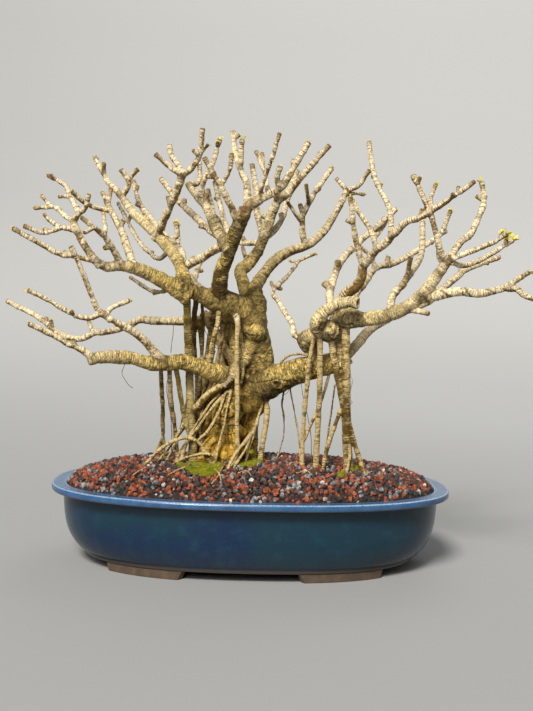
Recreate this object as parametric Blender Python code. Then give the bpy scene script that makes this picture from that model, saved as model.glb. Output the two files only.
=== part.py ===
"""Umbrella tree bonsai, bare of leaves: trunk, boughs, twigs and aerial roots in an oval glazed pot.

Metres, +Z up, the front towards -Y.  The pot stands on the floor at z = 0, and the whole is centred
over the origin.

The limbs are laid out on a front elevation drawn on squared paper.  A place on it is (column, row,
depth): columns run to the right, rows run down, and depth is in millimetres behind the mid-plane of
the pot.  The elevation is drawn as seen from a station point in front of the pot, so each place is
carried along its sight line to its depth.  Girths are diameters in squares of the same paper.
"""

import math
import random

import bmesh
import bpy
import numpy as np
from mathutils import Matrix, Vector

MM = 0.001

# Front elevation
SQUARE = 1.3 * MM  # one square of the paper, at the mid-plane
EYE_DISTANCE = 1.300
EYE_COLUMN = 266.5
EYE_ROW = 312.0  # the row at the height of the station point
PAPER_TURN = math.radians(1.5)  # the drawing leans by this much
TURN_ROW = 355.5
EYE_ACROSS = 15.8 * MM

# Pot
POT_LENGTH = 508 * MM
POT_WIDTH = 321 * MM
POT_TURN = math.radians(1.0)
OVAL_POWER = 2.4  # 2 is an ellipse, more is squarer
OVAL_STEPS = 40
FOOT_HEIGHT = 11 * MM
WALL_HEIGHT = 86 * MM
RIM_TOP = FOOT_HEIGHT + WALL_HEIGHT
RIM_FACE = 8.5 * MM
RIM_OVERHANG = 14.5 * MM
RIM_FLAT = 18 * MM
RIM_EDGE = 1.5 * MM  # softening of the rim's edges
WIDTH_SWEEP = 0.46  # below the rim the long sides lean in this much less than the ends
FLOOR_THICKNESS = 9 * MM
BASE_INSET = 44 * MM
BAND_HEIGHT = 5 * MM
BAND_SLOPE = 2 * MM
WALL_LEAN = 4 * MM
WALL_CURVE = 20 * MM
FOOT_THICKNESS = 12 * MM
FOOT_ARC = (39, 74.5)  # degrees of the oval, counted from its ends
FOOT_SHIFT = -2.7  # degrees by which all four are askew
FOOT_SINK = 2 * MM  # into the underside
FOOT_INSET = 3 * MM
EYE_HEIGHT = RIM_TOP + 220.6 * MM

# Soil
SOIL_EDGE = 1 * MM
MOUND = 25 * MM
MOUND_RINGS = (1.0, 0.96, 0.88, 0.74, 0.54, 0.34)

# Moss
MOSS_PLACE = (-62 * MM, -58 * MM)  # its middle on the soil
MOSS_SIZE = (23 * MM, 15 * MM, 6 * MM)  # half its length, width and height
MOSS_REACH = 8 * MM  # roots nearer than this to the pad are cut out of it
MOSS_LOBE = 0.16

# Joints and making
GAP = 0.3 * MM  # between pieces that touch
BOUGH_STEP = 16 * MM
TWIG_STEP = 24 * MM
TRUNK_SIDES = 16
BOUGH_SIDES = 8
ROOT_SIDES = 6
TWIG_SIDES = 5
SEED = 11

# Twigs
SPUR_LENGTH = (5, 10)  # millimetres
SPUR_SHARE = 0.8  # girth of a spur, of its twig's
SPUR_SPACING = 90 * MM
SPUR_PLACES = (0.35, 0.92)  # shares of its twig's length
SPACE_MARGIN = 8 * MM
LEANS = (0, 6, -6, 12, -12, 18, -18, 26, -26, 36, -36)  # millimetres
STEM_SPARED = 22 * MM  # this much of a stem's foot may lie close to other limbs
TWIG_SPARED = 14 * MM
PARENT_SPARED = 30 * MM


def limb(on, girth, *places):
    """A limb grown out of another node: its girths and its places, from its foot to its end."""
    return {"on": on, "girth": girth, "places": places}


def side(twig, share, girth, *places):
    """A twig that leaves an earlier twig of its node at a share of that twig's length."""
    return {"twig": twig, "share": share, "girth": girth, "places": places}


TRUNK_PLACES = (
    (218, 470, 26), (221, 452, 26), (225, 430, 24), (234, 408, 20), (247, 388, 14),
    (256, 368, 10), (256, 350, 8), (253, 330, 4), (254, 313, 2), (257, 297, 4),
)
TRUNK_GIRTHS = (56, 43, 42, 50, 56, 42, 34, 29, 26, 19)

BOUGHS = {
    "bough_shoulder": limb(
        "trunk", (21, 15), (250, 313, 0), (235, 303, -14), (218, 302, -26), (203, 296, -34),
        (188, 288, -40)),
    "bough_front": limb(
        "bough_shoulder", (16, 16), (219, 302, -26), (220, 280, -44), (226, 260, -58), (232, 242, -67),
        (239, 226, -76), (246, 212, -84)),
    "bough_left_crown": limb(
        "bough_shoulder", (16, 8), (184, 287, -40), (182, 270, -38), (175, 257, -28), (163, 241, -10),
        (150, 228, 8), (134, 213, 26), (123, 199, 40)),
    "bough_left_upper": limb(
        "bough_shoulder", (19, 10), (188, 294, -40), (165, 282, -54), (150, 274, -62), (134, 268, -72),
        (120, 266, -82), (106, 267, -91), (98, 263, -97)),
    "bough_back_leader": limb(
        "trunk", (15, 12), (252, 303, 6), (244, 285, 30), (240, 272, 47), (249, 264, 58), (258, 251, 62),
        (263, 239, 61)),
    "bough_right_centre": limb(
        "trunk", (14, 6.5), (257, 303, 2), (256, 288, 14), (261, 277, 28), (270, 266, 42), (280, 257, 54),
        (292, 250, 66), (306, 246, 78), (318, 237, 88), (326, 228, 96), (336, 212, 106), (344, 197, 112)),
    "bough_arm": limb(
        "trunk", (31, 22), (256, 386, 6), (280, 378, -8), (300, 370, -18), (320, 366, -26), (342, 361, -30)),
    "bough_hub": limb(
        "bough_arm", (19, 17), (341, 364, -32), (340, 346, -38), (337, 330, -44), (337, 316, -44)),
    "bough_elbow": limb(
        "bough_arm", (11, 19), (305, 368, -22), (304, 354, -26), (306, 340, -30), (315, 334, -36),
        (328, 330, -42)),
    "bough_knob": limb(
        "bough_hub", (14, 12), (333, 335, -48), (319, 332, -62), (318, 319, -75), (331, 307, -81),
        (346, 302, -85), (359, 303, -90)),
    "bough_right_main": limb(
        "bough_hub", (17, 11), (340, 319, -46), (361, 319, -64), (378, 317, -76), (394, 313, -88),
        (409, 306, -98), (422, 295, -108), (433, 281, -116), (444, 266, -122)),
    "bough_right_low": limb(
        "bough_right_main", (11, 8), (424, 297, -108), (440, 295, -115), (462, 291, -124), (478, 293, -132),
        (503, 289, -142)),
    "bough_right_back": limb(
        "bough_arm", (11, 7), (338, 366, -20), (355, 346, 4), (372, 328, 30), (398, 313, 60), (425, 303, 84),
        (441, 290, 104), (464, 270, 124)),
    "bough_right_high": limb(
        "bough_hub", (12, 10), (335, 312, -46), (345, 295, -55), (355, 287, -61), (361, 277, -64),
        (363, 267, -68)),
    "bough_left_low": limb(
        "trunk", (21, 11), (240, 384, 0), (228, 378, -14), (214, 373, -26), (198, 367, -36), (182, 362, -41),
        (166, 363, -46), (150, 363, -54), (130, 358, -64), (115, 357, -72), (100, 357, -80), (88, 361, -86)),
    "bough_left_rise": limb(
        "bough_left_low", (10, 7.5), (163, 361, -48), (147, 343, -62), (138, 335, -70), (128, 329, -78),
        (118, 324, -84), (107, 317, -90)),
    "bough_left_back": limb(
        "trunk", (11, 6.5), (252, 330, 12), (225, 323, 28), (205, 320, 32), (185, 321, 34), (155, 321, 38),
        (140, 320, 44), (128, 326, 50), (105, 332, 62), (95, 333, 68)),
}

# Aerial roots: each node is one root and the ones that join it
ROOTS = {
    "root_pillar_left": (
        limb("bough_shoulder", (9, 10), (187, 289, -40), (187, 312, -36), (188, 334, -22), (189, 362, -13),
             (190, 394, -17), (192, 441, -27), (194, 470, -31)),
        limb("bough_left_low", (6, 6), (176, 365, -41), (180, 394, -30), (185, 420, -26), (192, 441, -27)),
    ),
    "root_pillar_inner": (
        limb("bough_shoulder", (6.5, 6), (197, 293, -36), (194, 318, -12), (194, 346, 8), (197, 385, 20),
             (195, 420, 24), (191, 468, 26)),
    ),
    "root_curtain_left": (
        limb("bough_left_low", (5, 5), (161, 364, -48), (162, 390, -22), (163, 420, 12), (163, 468, 42)),
        limb("root_curtain_left", (4, 4), (163, 436, 22), (157, 452, 34), (147, 470, 40)),
    ),
    "root_curtain_right": (
        limb("bough_left_low", (5.5, 5), (169, 364, -45), (171, 400, -20), (175, 430, 2), (178, 468, 22)),
    ),
    "root_shoulder": (
        limb("bough_shoulder", (6, 6), (219, 304, -27), (218, 320, -36), (214, 338, -38), (209, 366, -32)),
    ),
    "root_inner": (
        limb("bough_left_back", (8, 9), (207, 321, 30), (215, 335, 16), (224, 350, 6), (238, 372, -2)),
    ),
    "root_front": (
        limb("bough_shoulder", (6, 5), (236, 304, -15), (238, 320, -34), (237, 350, -42), (237, 400, -46),
             (237, 441, -42), (237, 470, -40)),
    ),
    "root_strut": (
        limb("trunk", (9, 8), (238, 372, -8), (222, 385, -26), (208, 395, -28), (196, 408, -23),
             (191, 414, -20)),
    ),
    "roots_surface": (
        limb("trunk", (5, 5), (232, 388, -10), (224, 395, -28), (211, 409, -36), (198, 427, -40),
             (187, 443, -41), (179, 470, -40)),
        limb("roots_surface", (4.5, 4), (225, 394, -27), (219, 411, -36), (208, 430, -45), (197, 442, -52)),
        limb("roots_surface", (5, 5.5), (141, 470, -36), (152, 457, -42), (162, 448, -46), (174, 441, -50),
             (187, 438, -52), (197, 442, -52), (204, 451, -50), (212, 468, -48)),
    ),
    "roots_foot": (
        limb("trunk", (5, 4.5), (263, 400, 4), (255, 428, -16), (246, 441, -34), (237, 452, -52),
             (230, 464, -62), (223, 484, -72)),
        limb("roots_foot", (4.5, 4), (259, 414, -6), (256, 430, -6), (249, 447, -16), (245, 470, -24)),
        limb("roots_foot", (7, 6), (263, 400, 4), (267, 408, 2), (266, 425, 0), (263, 441, -4),
             (258, 480, -10)),
    ),
    "roots_right": (
        limb("bough_elbow", (5.5, 5), (316, 332, -38), (313, 342, -50), (309, 365, -54), (306, 394, -48),
             (303, 433, -38), (302, 474, -34)),
        limb("bough_arm", (4, 4), (331, 364, -30), (327, 384, -32), (318, 408, -36), (304, 440, -37)),
    ),
    "root_right_middle": (
        limb("bough_knob", (6.5, 6.5), (320, 331, -62), (320, 345, -60), (320, 371, -58), (319, 403, -49),
             (317, 441, -40), (315, 476, -36)),
    ),
    "root_pillar_right": (
        limb("bough_right_main", (10, 11), (345, 320, -50), (346, 345, -56), (346, 375, -56),
             (346, 403, -50), (347, 440, -43), (349, 478, -40)),
        limb("bough_knob", (7.5, 7), (331, 334, -50), (333, 350, -56), (336, 370, -58), (340, 390, -55),
             (344, 410, -49)),
        limb("root_pillar_right", (5, 5), (345, 400, -50), (337, 420, -52), (328, 446, -52),
             (321, 480, -52)),
        limb("root_pillar_right", (5.5, 5.5), (347, 410, -49), (354, 441, -46), (359, 458, -46),
             (367, 486, -48)),
    ),
}

# Twig masses: the first twig is the stem, and the others leave a twig that comes before them
MASSES = {
    "twigs_left_tip": (
        limb("bough_left_upper", (9, 7), (97, 262, -98), (90, 254, -103), (83, 243, -108), (78, 231, -112)),
        side(0, 0.15, (6, 5), (74, 256, -108), (60, 254, -114), (36, 241, -124), (12, 228, -134)),
        side(0, 1.0, (6, 4.5), (62, 228, -116), (44, 233, -126), (23, 226, -136)),
        side(2, 0.3, (5, 4), (50, 221, -112), (44, 214, -108)),
        side(0, 1.0, (6.5, 6), (75, 226, -112), (73, 221, -110)),
        side(4, 1.0, (5.5, 4.5), (66, 217, -106), (55, 208, -98), (34, 208, -90)),
        side(5, 0.6, (4.5, 4), (48, 203, -94), (42, 195, -92)),
        side(4, 1.0, (6, 5), (79, 214, -117), (85, 208, -122), (89, 194, -128)),
        side(7, 0.3, (5.5, 4.5), (76, 207, -112), (70, 197, -106), (64, 185, -100), (48, 175, -90)),
        side(8, 0.4, (4.5, 4), (58, 197, -110)),
    ),
    "twigs_left_mid": (
        limb("bough_left_upper", (9, 6.5), (133, 266, -72), (128, 250, -60), (122, 232, -50),
             (114, 216, -42), (106, 201, -34)),
        side(0, 1.0, (5, 4.5), (102, 192, -30)),
        side(0, 0.95, (5, 4.5), (111, 188, -38)),
        side(0, 0.85, (5.5, 5), (100, 209, -44), (84, 202, -56), (71, 191, -64)),
    ),
    "twigs_left_front": (
        limb("bough_left_upper", (7.5, 6), (121, 265, -82), (112, 247, -98), (103, 235, -112),
             (94, 228, -124)),
        side(0, 1.0, (5, 4.5), (81, 217, -134)),
        side(0, 1.0, (5, 4.5), (84, 233, -138)),
        side(0, 0.7, (4.5, 4), (105, 228, -108), (103, 212, -100)),
    ),
    "twigs_left_under": (
        limb("bough_left_upper", (5.5, 3.5), (172, 287, -50), (160, 292, -40), (148, 289, -30),
             (130, 277, -14)),
    ),
    "twigs_crown_left": (
        limb("bough_left_crown", (7.5, 7), (123, 199, 40), (119, 193, 45)),
        side(0, 1.0, (6, 5), (114, 188, 50), (107, 180, 58), (95, 158, 70)),
        side(1, 0.6, (5, 4.5), (104, 163, 52)),
        side(0, 0.6, (6, 5), (127, 189, 40), (128, 181, 36), (121, 169, 32)),
        side(3, 0.6, (5, 4.5), (138, 169, 28)),
    ),
    "twigs_crown_back": (
        limb("bough_left_crown", (7, 5), (183, 264, -34), (181, 251, -2), (172, 242, 14), (160, 230, 36),
             (148, 215, 56), (140, 203, 68), (133, 181, 84)),
        side(0, 0.38, (5, 5), (177, 236, 12), (176, 222, 18)),
        side(0, 0.3, (5, 4), (160, 259, 24), (146, 249, 38), (137, 238, 50), (128, 222, 66), (118, 203, 84)),
    ),
    "twigs_crown_fork": (
        limb("bough_left_crown", (8.5, 8), (156, 238, -2), (164, 220, -24), (172, 203, -42), (178, 189, -54),
             (183, 175, -62)),
        side(0, 1.0, (6, 5), (170, 167, -68), (155, 154, -74)),
        side(0, 1.0, (6, 5), (177, 163, -58), (172, 157, -54), (169, 145, -50)),
        side(0, 1.0, (6.5, 5.5), (190, 170, -68), (196, 162, -72), (200, 154, -76), (203, 128, -84)),
        side(3, 0.5, (5, 4), (193, 150, -82)),
        side(3, 0.45, (4.5, 4), (201, 153, -68), (208, 144, -64)),
    ),
    "twigs_crown_centre": (
        limb("bough_front", (14, 11), (230, 249, -63), (222, 238, -58), (214, 222, -50)),
        side(0, 0.35, (8, 5.5), (205, 226, -30), (190, 212, -6), (178, 200, 12), (161, 179, 40)),
        side(0, 1.0, (10, 7), (206, 206, -40), (197, 196, -32), (187, 183, -24)),
        side(2, 1.0, (6, 5), (197, 184, -14), (200, 176, -10), (199, 161, -6)),
        side(2, 0.5, (6, 5), (203, 184, -36), (213, 162, -30), (220, 140, -24)),
        side(0, 0.6, (5.5, 4.5), (222, 214, -34), (218, 197, -24), (215, 181, -16)),
        side(0, 0.9, (5, 4.5), (213, 208, -26), (208, 189, -14)),
        side(0, 0.2, (9, 9), (214, 250, -52), (203, 257, -45), (186, 266, -38)),
    ),
    "twigs_front_left": (
        limb("bough_front", (8, 6.5), (239, 228, -75), (235, 216, -86), (227, 198, -96), (212, 171, -108)),
        side(0, 1.0, (6, 5), (204, 157, -114)),
        side(0, 0.75, (5, 4.5), (229, 172, -108), (232, 153, -112)),
    ),
    "twigs_front": (
        limb("bough_front", (12, 9), (246, 211, -85), (250, 205, -88), (255, 203, -90)),
        side(0, 0.5, (8, 5.5), (247, 184, -82), (241, 171, -78), (235, 150, -70), (233, 131, -66)),
        side(1, 0.5, (6, 5), (241, 158, -84), (242, 139, -90)),
        side(0, 1.0, (9, 8), (261, 199, -90), (268, 195, -92), (276, 191, -94), (283, 186, -96)),
        side(3, 0.9, (6.5, 5.5), (277, 178, -102), (280, 166, -108)),
        side(3, 1.0, (8, 5.5), (289, 176, -96), (301, 156, -98), (309, 142, -100)),
        side(5, 0.4, (5, 4.5), (293, 160, -88)),
        side(3, 0.2, (5, 4.5), (262, 186, -98), (271, 161, -110), (280, 133, -120)),
        side(3, 0.5, (5, 4.5), (264, 172, -80), (256, 151, -72)),
        side(8, 0.5, (4.5, 4), (262, 153, -68)),
    ),
    "twigs_back_leader": (
        limb("bough_back_leader", (11, 9), (263, 239, 61), (268, 224, 56), (277, 202, 48), (283, 196, 46)),
        side(0, 1.0, (8, 5.5), (290, 191, 42), (301, 177, 36), (312, 165, 30), (330, 145, 20)),
        side(0, 0.1, (7, 5), (260, 224, 68), (256, 208, 72), (257, 195, 76), (252, 164, 86)),
        side(0, 0.1, (7, 5), (273, 232, 68), (282, 219, 78), (286, 204, 88), (297, 170, 104)),
    ),
    "twigs_back": (
        limb("bough_back_leader", (9.5, 7), (258, 252, 62), (261, 245, 92), (265, 232, 122),
             (269, 218, 146)),
        side(0, 1.0, (6, 5), (276, 204, 158), (288, 192, 168), (303, 174, 178)),
        side(0, 1.0, (6, 5), (258, 212, 160), (256, 196, 168), (254, 176, 178)),
        side(0, 0.4, (6, 5), (240, 243, 128), (228, 232, 146), (218, 194, 164)),
    ),
    "twigs_back_left": (
        limb("trunk", (12, 7.5), (252, 309, 4), (236, 303, 46), (214, 298, 78), (198, 288, 100),
             (184, 272, 120), (160, 238, 148)),
        side(0, 1.0, (6, 5), (150, 226, 156), (141, 206, 168)),
        side(0, 1.0, (5.5, 4.5), (165, 222, 140), (171, 204, 134)),
        side(0, 0.8, (5.5, 5), (178, 246, 158), (177, 224, 168)),
        side(0, 0.6, (6, 5), (200, 262, 140), (216, 247, 156)),
    ),
    "twigs_right_centre": (
        limb("bough_right_centre", (6.5, 6), (344, 197, 112), (347, 190, 116)),
        side(0, 1.0, (5, 4.5), (336, 178, 122)),
        side(0, 1.0, (5, 4.5), (358, 186, 108), (370, 170, 96)),
        side(0, 0.5, (4.5, 4), (355, 193, 122), (364, 195, 128)),
    ),
    "twigs_right_low": (
        limb("bough_right_centre", (7, 6), (306, 247, 78), (303, 234, 74), (302, 213, 68)),
        side(0, 0.7, (4.5, 4), (296, 215, 62), (287, 202, 54)),
        side(0, 1.0, (5, 4.5), (300, 204, 62)),
        side(0, 0.95, (6, 5), (313, 196, 80), (320, 185, 88), (332, 168, 98)),
        side(3, 0.25, (4.5, 4), (308, 200, 66), (306, 184, 58)),
    ),
    "twigs_right_back": (
        limb("bough_hub", (9, 5.5), (335, 317, -36), (330, 299, -14), (333, 280, 8), (342, 260, 32),
             (358, 243, 54), (374, 229, 74), (396, 209, 96)),
        side(0, 0.8, (5, 4.5), (380, 230, 88), (389, 216, 98)),
    ),
    "twigs_right_high": (
        limb("bough_right_high", (9, 5), (363, 267, -68), (374, 253, -84), (386, 243, -98), (405, 223, -120),
             (421, 217, -132), (448, 200, -152), (475, 181, -170)),
        side(0, 0.04, (6.5, 5), (357, 246, -76), (354, 230, -82), (350, 197, -90)),
        side(0, 0.2, (6, 5), (371, 231, -76), (359, 213, -68), (353, 200, -64)),
        side(0, 0.34, (6, 5), (391, 216, -106), (387, 202, -102), (375, 178, -94), (369, 141, -84)),
        side(0, 0.68, (4.5, 4), (431, 198, -136), (436, 184, -132)),
    ),
    "twigs_right_inner": (
        limb("bough_hub", (8, 5), (338, 313, -38), (352, 299, -26), (364, 284, -8), (376, 268, 8),
             (392, 264, 24), (412, 254, 40), (428, 243, 52), (446, 231, 66)),
        side(0, 0.42, (4.5, 3.5), (371, 257, 2), (359, 245, -8)),
        side(0, 0.96, (5, 4.5), (446, 222, 60), (451, 210, 54)),
    ),
    "twigs_right_mid": (
        limb("bough_right_main", (9, 5), (390, 313, -86), (393, 296, -78), (402, 285, -68), (412, 271, -58),
             (421, 255, -48), (423, 222, -34)),
        side(0, 0.4, (5.5, 5), (411, 257, -80)),
    ),
    "twigs_right_fork": (
        limb("bough_right_main", (10.5, 10), (444, 266, -122), (448, 260, -124)),
        side(0, 1.0, (6.5, 5.5), (440, 250, -130), (430, 212, -136), (413, 175, -128)),
        side(0, 1.0, (6, 5), (462, 255, -130), (490, 244, -142), (508, 234, -150)),
        side(0, 1.0, (6, 5), (462, 266, -112), (478, 261, -100), (495, 252, -90), (513, 240, -80)),
        side(0, 1.0, (8, 5.5), (460, 243, -106), (472, 232, -96), (484, 203, -78), (481, 182, -66)),
        side(0, 0.5, (4.5, 4), (439, 258, -112), (437, 245, -106)),
    ),
    "twigs_right_end": (
        limb("bough_right_low", (7.5, 5.5), (503, 289, -142), (516, 289, -148), (522, 294, -152),
             (531, 298, -156), (546, 299, -162)),
        side(0, 0.1, (6, 5), (515, 281, -150), (529, 272, -156)),
    ),
    "twigs_right_back_end": (
        limb("bough_right_back", (7, 5), (464, 270, 124), (480, 264, 134), (500, 257, 146)),
    ),
    "twigs_left_low": (
        limb("bough_left_low", (8, 5), (92, 358, -84), (84, 351, -90), (68, 344, -98), (58, 338, -104),
             (28, 324, -118)),
    ),
    "twigs_left_rise": (
        limb("bough_left_rise", (7.5, 7), (107, 317, -90), (102, 313, -92)),
        side(0, 1.0, (6.5, 5), (97, 308, -94), (84, 275, -106), (71, 246, -116)),
        side(0, 1.0, (6, 4.5), (90, 318, -98), (75, 315, -104), (50, 301, -116), (28, 290, -126)),
        side(0, 0.6, (5.5, 5), (112, 308, -84), (130, 300, -76)),
    ),
    "twigs_left_back": (
        limb("bough_left_back", (6.5, 5), (95, 333, 68), (78, 339, 78), (58, 333, 90), (38, 317, 102),
             (7, 301, 118)),
        side(0, 0.06, (4.5, 4), (88, 320, 76)),
    ),
    "twigs_deadwood": (
        limb("bough_elbow", (6, 3.5), (303, 338, -31), (294, 335, -30), (292, 324, -26), (279, 303, -12),
             (273, 292, -6), (288, 276, 8), (300, 261, 16), (315, 254, 22)),
        side(0, 0.85, (3.5, 3), (290, 261, 22)),
    ),
}

MATERIALS = {
    # name: colour, roughness
    "bark": ((0.46, 0.38, 0.22), 0.78),
    "twig": ((0.60, 0.53, 0.36), 0.72),
    "glaze": ((0.05, 0.16, 0.27), 0.18),
    "soil": ((0.20, 0.09, 0.06), 0.9),
    "moss": ((0.20, 0.23, 0.02), 0.95),
}


def clear_scene():
    for item in list(bpy.data.objects):
        bpy.data.objects.remove(item, do_unlink=True)


def make_material(name):
    colour, roughness = MATERIALS[name]
    material = bpy.data.materials.new(name)
    material.use_nodes = True
    shader = material.node_tree.nodes["Principled BSDF"]
    shader.inputs["Base Color"].default_value = (*colour, 1.0)
    shader.inputs["Roughness"].default_value = roughness
    return material


def add_object(name, mesh_builder, material):
    """A new object from a bmesh, which is freed."""
    mesh = bpy.data.meshes.new(name)
    mesh_builder.to_mesh(mesh)
    mesh_builder.free()
    item = bpy.data.objects.new(name, mesh)
    bpy.context.scene.collection.objects.link(item)
    if material:
        mesh.materials.append(material)
    return item


def sighted(place):
    """Where a place of the front elevation lies."""
    column, row, depth = place
    across = (column - EYE_COLUMN) * SQUARE
    up = (TURN_ROW - row) * SQUARE
    level_across = across * math.cos(PAPER_TURN) - up * math.sin(PAPER_TURN)
    level_up = across * math.sin(PAPER_TURN) + up * math.cos(PAPER_TURN)
    away = 1 + depth * MM / EYE_DISTANCE
    above_eye = level_up - (TURN_ROW - EYE_ROW) * SQUARE
    return Vector((EYE_ACROSS + level_across * away, depth * MM, EYE_HEIGHT + above_eye * away))


def smooth(points, step):
    """Points about a step apart on a smooth curve through the given ones."""
    ends = [points[0] * 2 - points[1], *points, points[-1] * 2 - points[-2]]
    curve = [points[0].copy()]
    for before, start, end, after in zip(ends, ends[1:], ends[2:], ends[3:]):
        pieces = max(1, round((end - start).length / step))
        for piece in range(1, pieces + 1):
            t = piece / pieces
            curve.append(0.5 * (
                2 * start + (end - before) * t
                + (2 * before - 5 * start + 4 * end - after) * t ** 2
                + (3 * start - before - 3 * end + after) * t ** 3))
    return curve


def lengths_along(points):
    """The share of the whole length at which each point lies."""
    run = [0.0]
    for start, end in zip(points, points[1:]):
        run.append(run[-1] + (end - start).length)
    return [length / run[-1] for length in run]


def point_at(points, share):
    """The point at a share of a route's length."""
    shares = lengths_along(points)
    for index in range(1, len(shares)):
        if shares[index] >= share:
            part = (share - shares[index - 1]) / (shares[index] - shares[index - 1])
            return points[index - 1].lerp(points[index], part)
    return points[-1].copy()


def radii_along(points, girths):
    """Radii that taper evenly between girths in squares, as large as their depth makes them."""
    shares = lengths_along(points)
    stations = np.linspace(0, 1, len(girths))
    radii = []
    for point, share in zip(points, shares):
        away = 1 + point.y / EYE_DISTANCE
        radii.append(float(np.interp(share, stations, girths)) / 2 * SQUARE * away)
    return radii


def tube_mesh(points, radii, sides, grow=0.0):
    """A closed tube; grow makes it thicker and longer all round."""
    points = [point.copy() for point in points]
    points[0] -= (points[1] - points[0]).normalized() * grow
    points[-1] += (points[-1] - points[-2]).normalized() * grow
    builder = bmesh.new()
    rings = []
    across = Vector((0, 1, 0))
    for index, (point, radius) in enumerate(zip(points, radii)):
        before = points[max(index - 1, 0)]
        after = points[min(index + 1, len(points) - 1)]
        along = (after - before).normalized()
        across = (across - along * across.dot(along)).normalized()
        other = along.cross(across)
        reach = (radius + grow) / math.cos(math.pi / sides) ** 0.5
        ring = []
        for corner in range(sides):
            angle = math.tau * corner / sides
            outward = across * math.cos(angle) + other * math.sin(angle)
            ring.append(builder.verts.new(point + outward * reach))
        rings.append(ring)
    for lower, upper in zip(rings, rings[1:]):
        for corner in range(sides):
            beyond = (corner + 1) % sides
            builder.faces.new((lower[corner], lower[beyond], upper[beyond], upper[corner]))
    builder.faces.new(list(reversed(rings[0])))
    builder.faces.new(rings[-1])
    bmesh.ops.triangulate(builder, faces=builder.faces[:])
    return builder


class Tube:
    """A tapering limb's route and thickness, which its mesh, its sleeve and its clearance come from."""

    def __init__(self, points, girths, sides, step):
        self.points = smooth(points, step)
        self.radii = radii_along(self.points, girths)
        self.sides = sides

    def mesh(self, grow=0.0):
        return tube_mesh(self.points, self.radii, self.sides, grow)

    def balls(self):
        """Rows of x, y, z, radius closely spaced along the tube."""
        rows = []
        shares = lengths_along(self.points)
        count = max(4, int(sum((b - a).length for a, b in zip(self.points, self.points[1:])) / (2.5 * MM)))
        for share in np.linspace(0, 1, count):
            radius = float(np.interp(share, shares, self.radii))
            rows.append((*point_at(self.points, share), radius))
        return np.array(rows)


class Node:
    """A built node: its object, the tubes in it and the balls that stand for them."""

    def __init__(self, item, tubes):
        self.item = item
        self.tubes = tubes
        self.balls = np.concatenate([tube.balls() for tube in tubes])


def clearance(balls, others):
    """The least distance between two sets of balls."""
    apart = np.linalg.norm(balls[:, None, :3] - others[None, :, :3], axis=2)
    return float((apart - balls[:, None, 3] - others[None, :, 3]).min())


def apply_boolean(item, operation, cutter=None, collection=None, solver="EXACT"):
    """Applies one Boolean to an object's mesh."""
    modifier = item.modifiers.new(operation.lower(), "BOOLEAN")
    modifier.operation = operation
    modifier.solver = solver
    if collection:
        modifier.operand_type = "COLLECTION"
        modifier.collection = collection
    else:
        modifier.object = cutter
    bpy.context.view_layer.update()
    evaluated = item.evaluated_get(bpy.context.evaluated_depsgraph_get())
    mesh = bpy.data.meshes.new_from_object(evaluated)
    item.modifiers.remove(modifier)
    item.data = mesh


def cut_by(item, builder):
    """Cuts an object with a closed shape, which is then removed."""
    cutter = add_object("cutter", builder, None)
    cutter.hide_render = True
    cutter.display_type = "WIRE"
    apply_boolean(item, "DIFFERENCE", cutter=cutter)
    bpy.data.objects.remove(cutter, do_unlink=True)


def keep_largest(item):
    """Welds a mesh and drops all but its largest body."""
    builder = bmesh.new()
    builder.from_mesh(item.data)
    bmesh.ops.remove_doubles(builder, verts=builder.verts[:], dist=0.00001)
    bmesh.ops.dissolve_degenerate(builder, edges=builder.edges[:], dist=0.00001)
    bmesh.ops.triangulate(builder, faces=builder.faces[:])
    unseen = set(builder.verts)
    bodies = []
    while unseen:
        body = {unseen.pop()}
        front = list(body)
        while front:
            vertex = front.pop()
            for edge in vertex.link_edges:
                beyond = edge.other_vert(vertex)
                if beyond in unseen:
                    unseen.discard(beyond)
                    body.add(beyond)
                    front.append(beyond)
        bodies.append(body)
    bodies.sort(key=len)
    scraps = [vertex for body in bodies[:-1] for vertex in body]
    bmesh.ops.delete(builder, geom=scraps, context="VERTS")
    builder.to_mesh(item.data)
    builder.free()


def fuse(name, tubes, material):
    """One object from tubes that run into each other, joined by one Boolean union."""
    first = add_object(name, tubes[0].mesh(), material)
    if len(tubes) > 1:
        group = bpy.data.collections.new(name)
        bpy.context.scene.collection.children.link(group)
        for number, tube in enumerate(tubes[1:]):
            piece = add_object(f"{name}_{number}", tube.mesh(), None)
            bpy.context.scene.collection.objects.unlink(piece)
            group.objects.link(piece)
        apply_boolean(first, "UNION", collection=group)
        for piece in list(group.objects):
            bpy.data.objects.remove(piece, do_unlink=True)
        bpy.data.collections.remove(group)
    return first


def seat_against(node, others):
    """Cuts a node clear of the nodes that it runs into, so that it meets each at the gap."""
    for other in others:
        if clearance(node.balls, other.balls) < 2 * GAP:
            for tube in other.tubes:
                if clearance(node.balls, tube.balls()) < 2 * GAP:
                    cut_by(node.item, tube.mesh(GAP))


def oval_ring(builder, inset, height, shrink=1.0):
    """Vertices round the pot's oval, inset from the rim's outer edge."""
    ring = []
    for step in range(OVAL_STEPS):
        angle = math.tau * step / OVAL_STEPS
        ring.append(builder.verts.new(oval_point(angle, inset, height, shrink)))
    return ring


def oval_point(angle, inset, height, shrink=1.0):
    """A point on the oval, which is a superellipse turned on the floor."""
    cosine, sine = math.cos(angle), math.sin(angle)
    power = 2 / OVAL_POWER
    width_inset = min(inset, RIM_OVERHANG) + WIDTH_SWEEP * max(0.0, inset - RIM_OVERHANG)
    across = math.copysign(abs(cosine) ** power, cosine) * (POT_LENGTH / 2 - inset) * shrink
    back = math.copysign(abs(sine) ** power, sine) * (POT_WIDTH / 2 - width_inset) * shrink
    return Matrix.Rotation(POT_TURN, 3, "Z") @ Vector((across, back, height))


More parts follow.
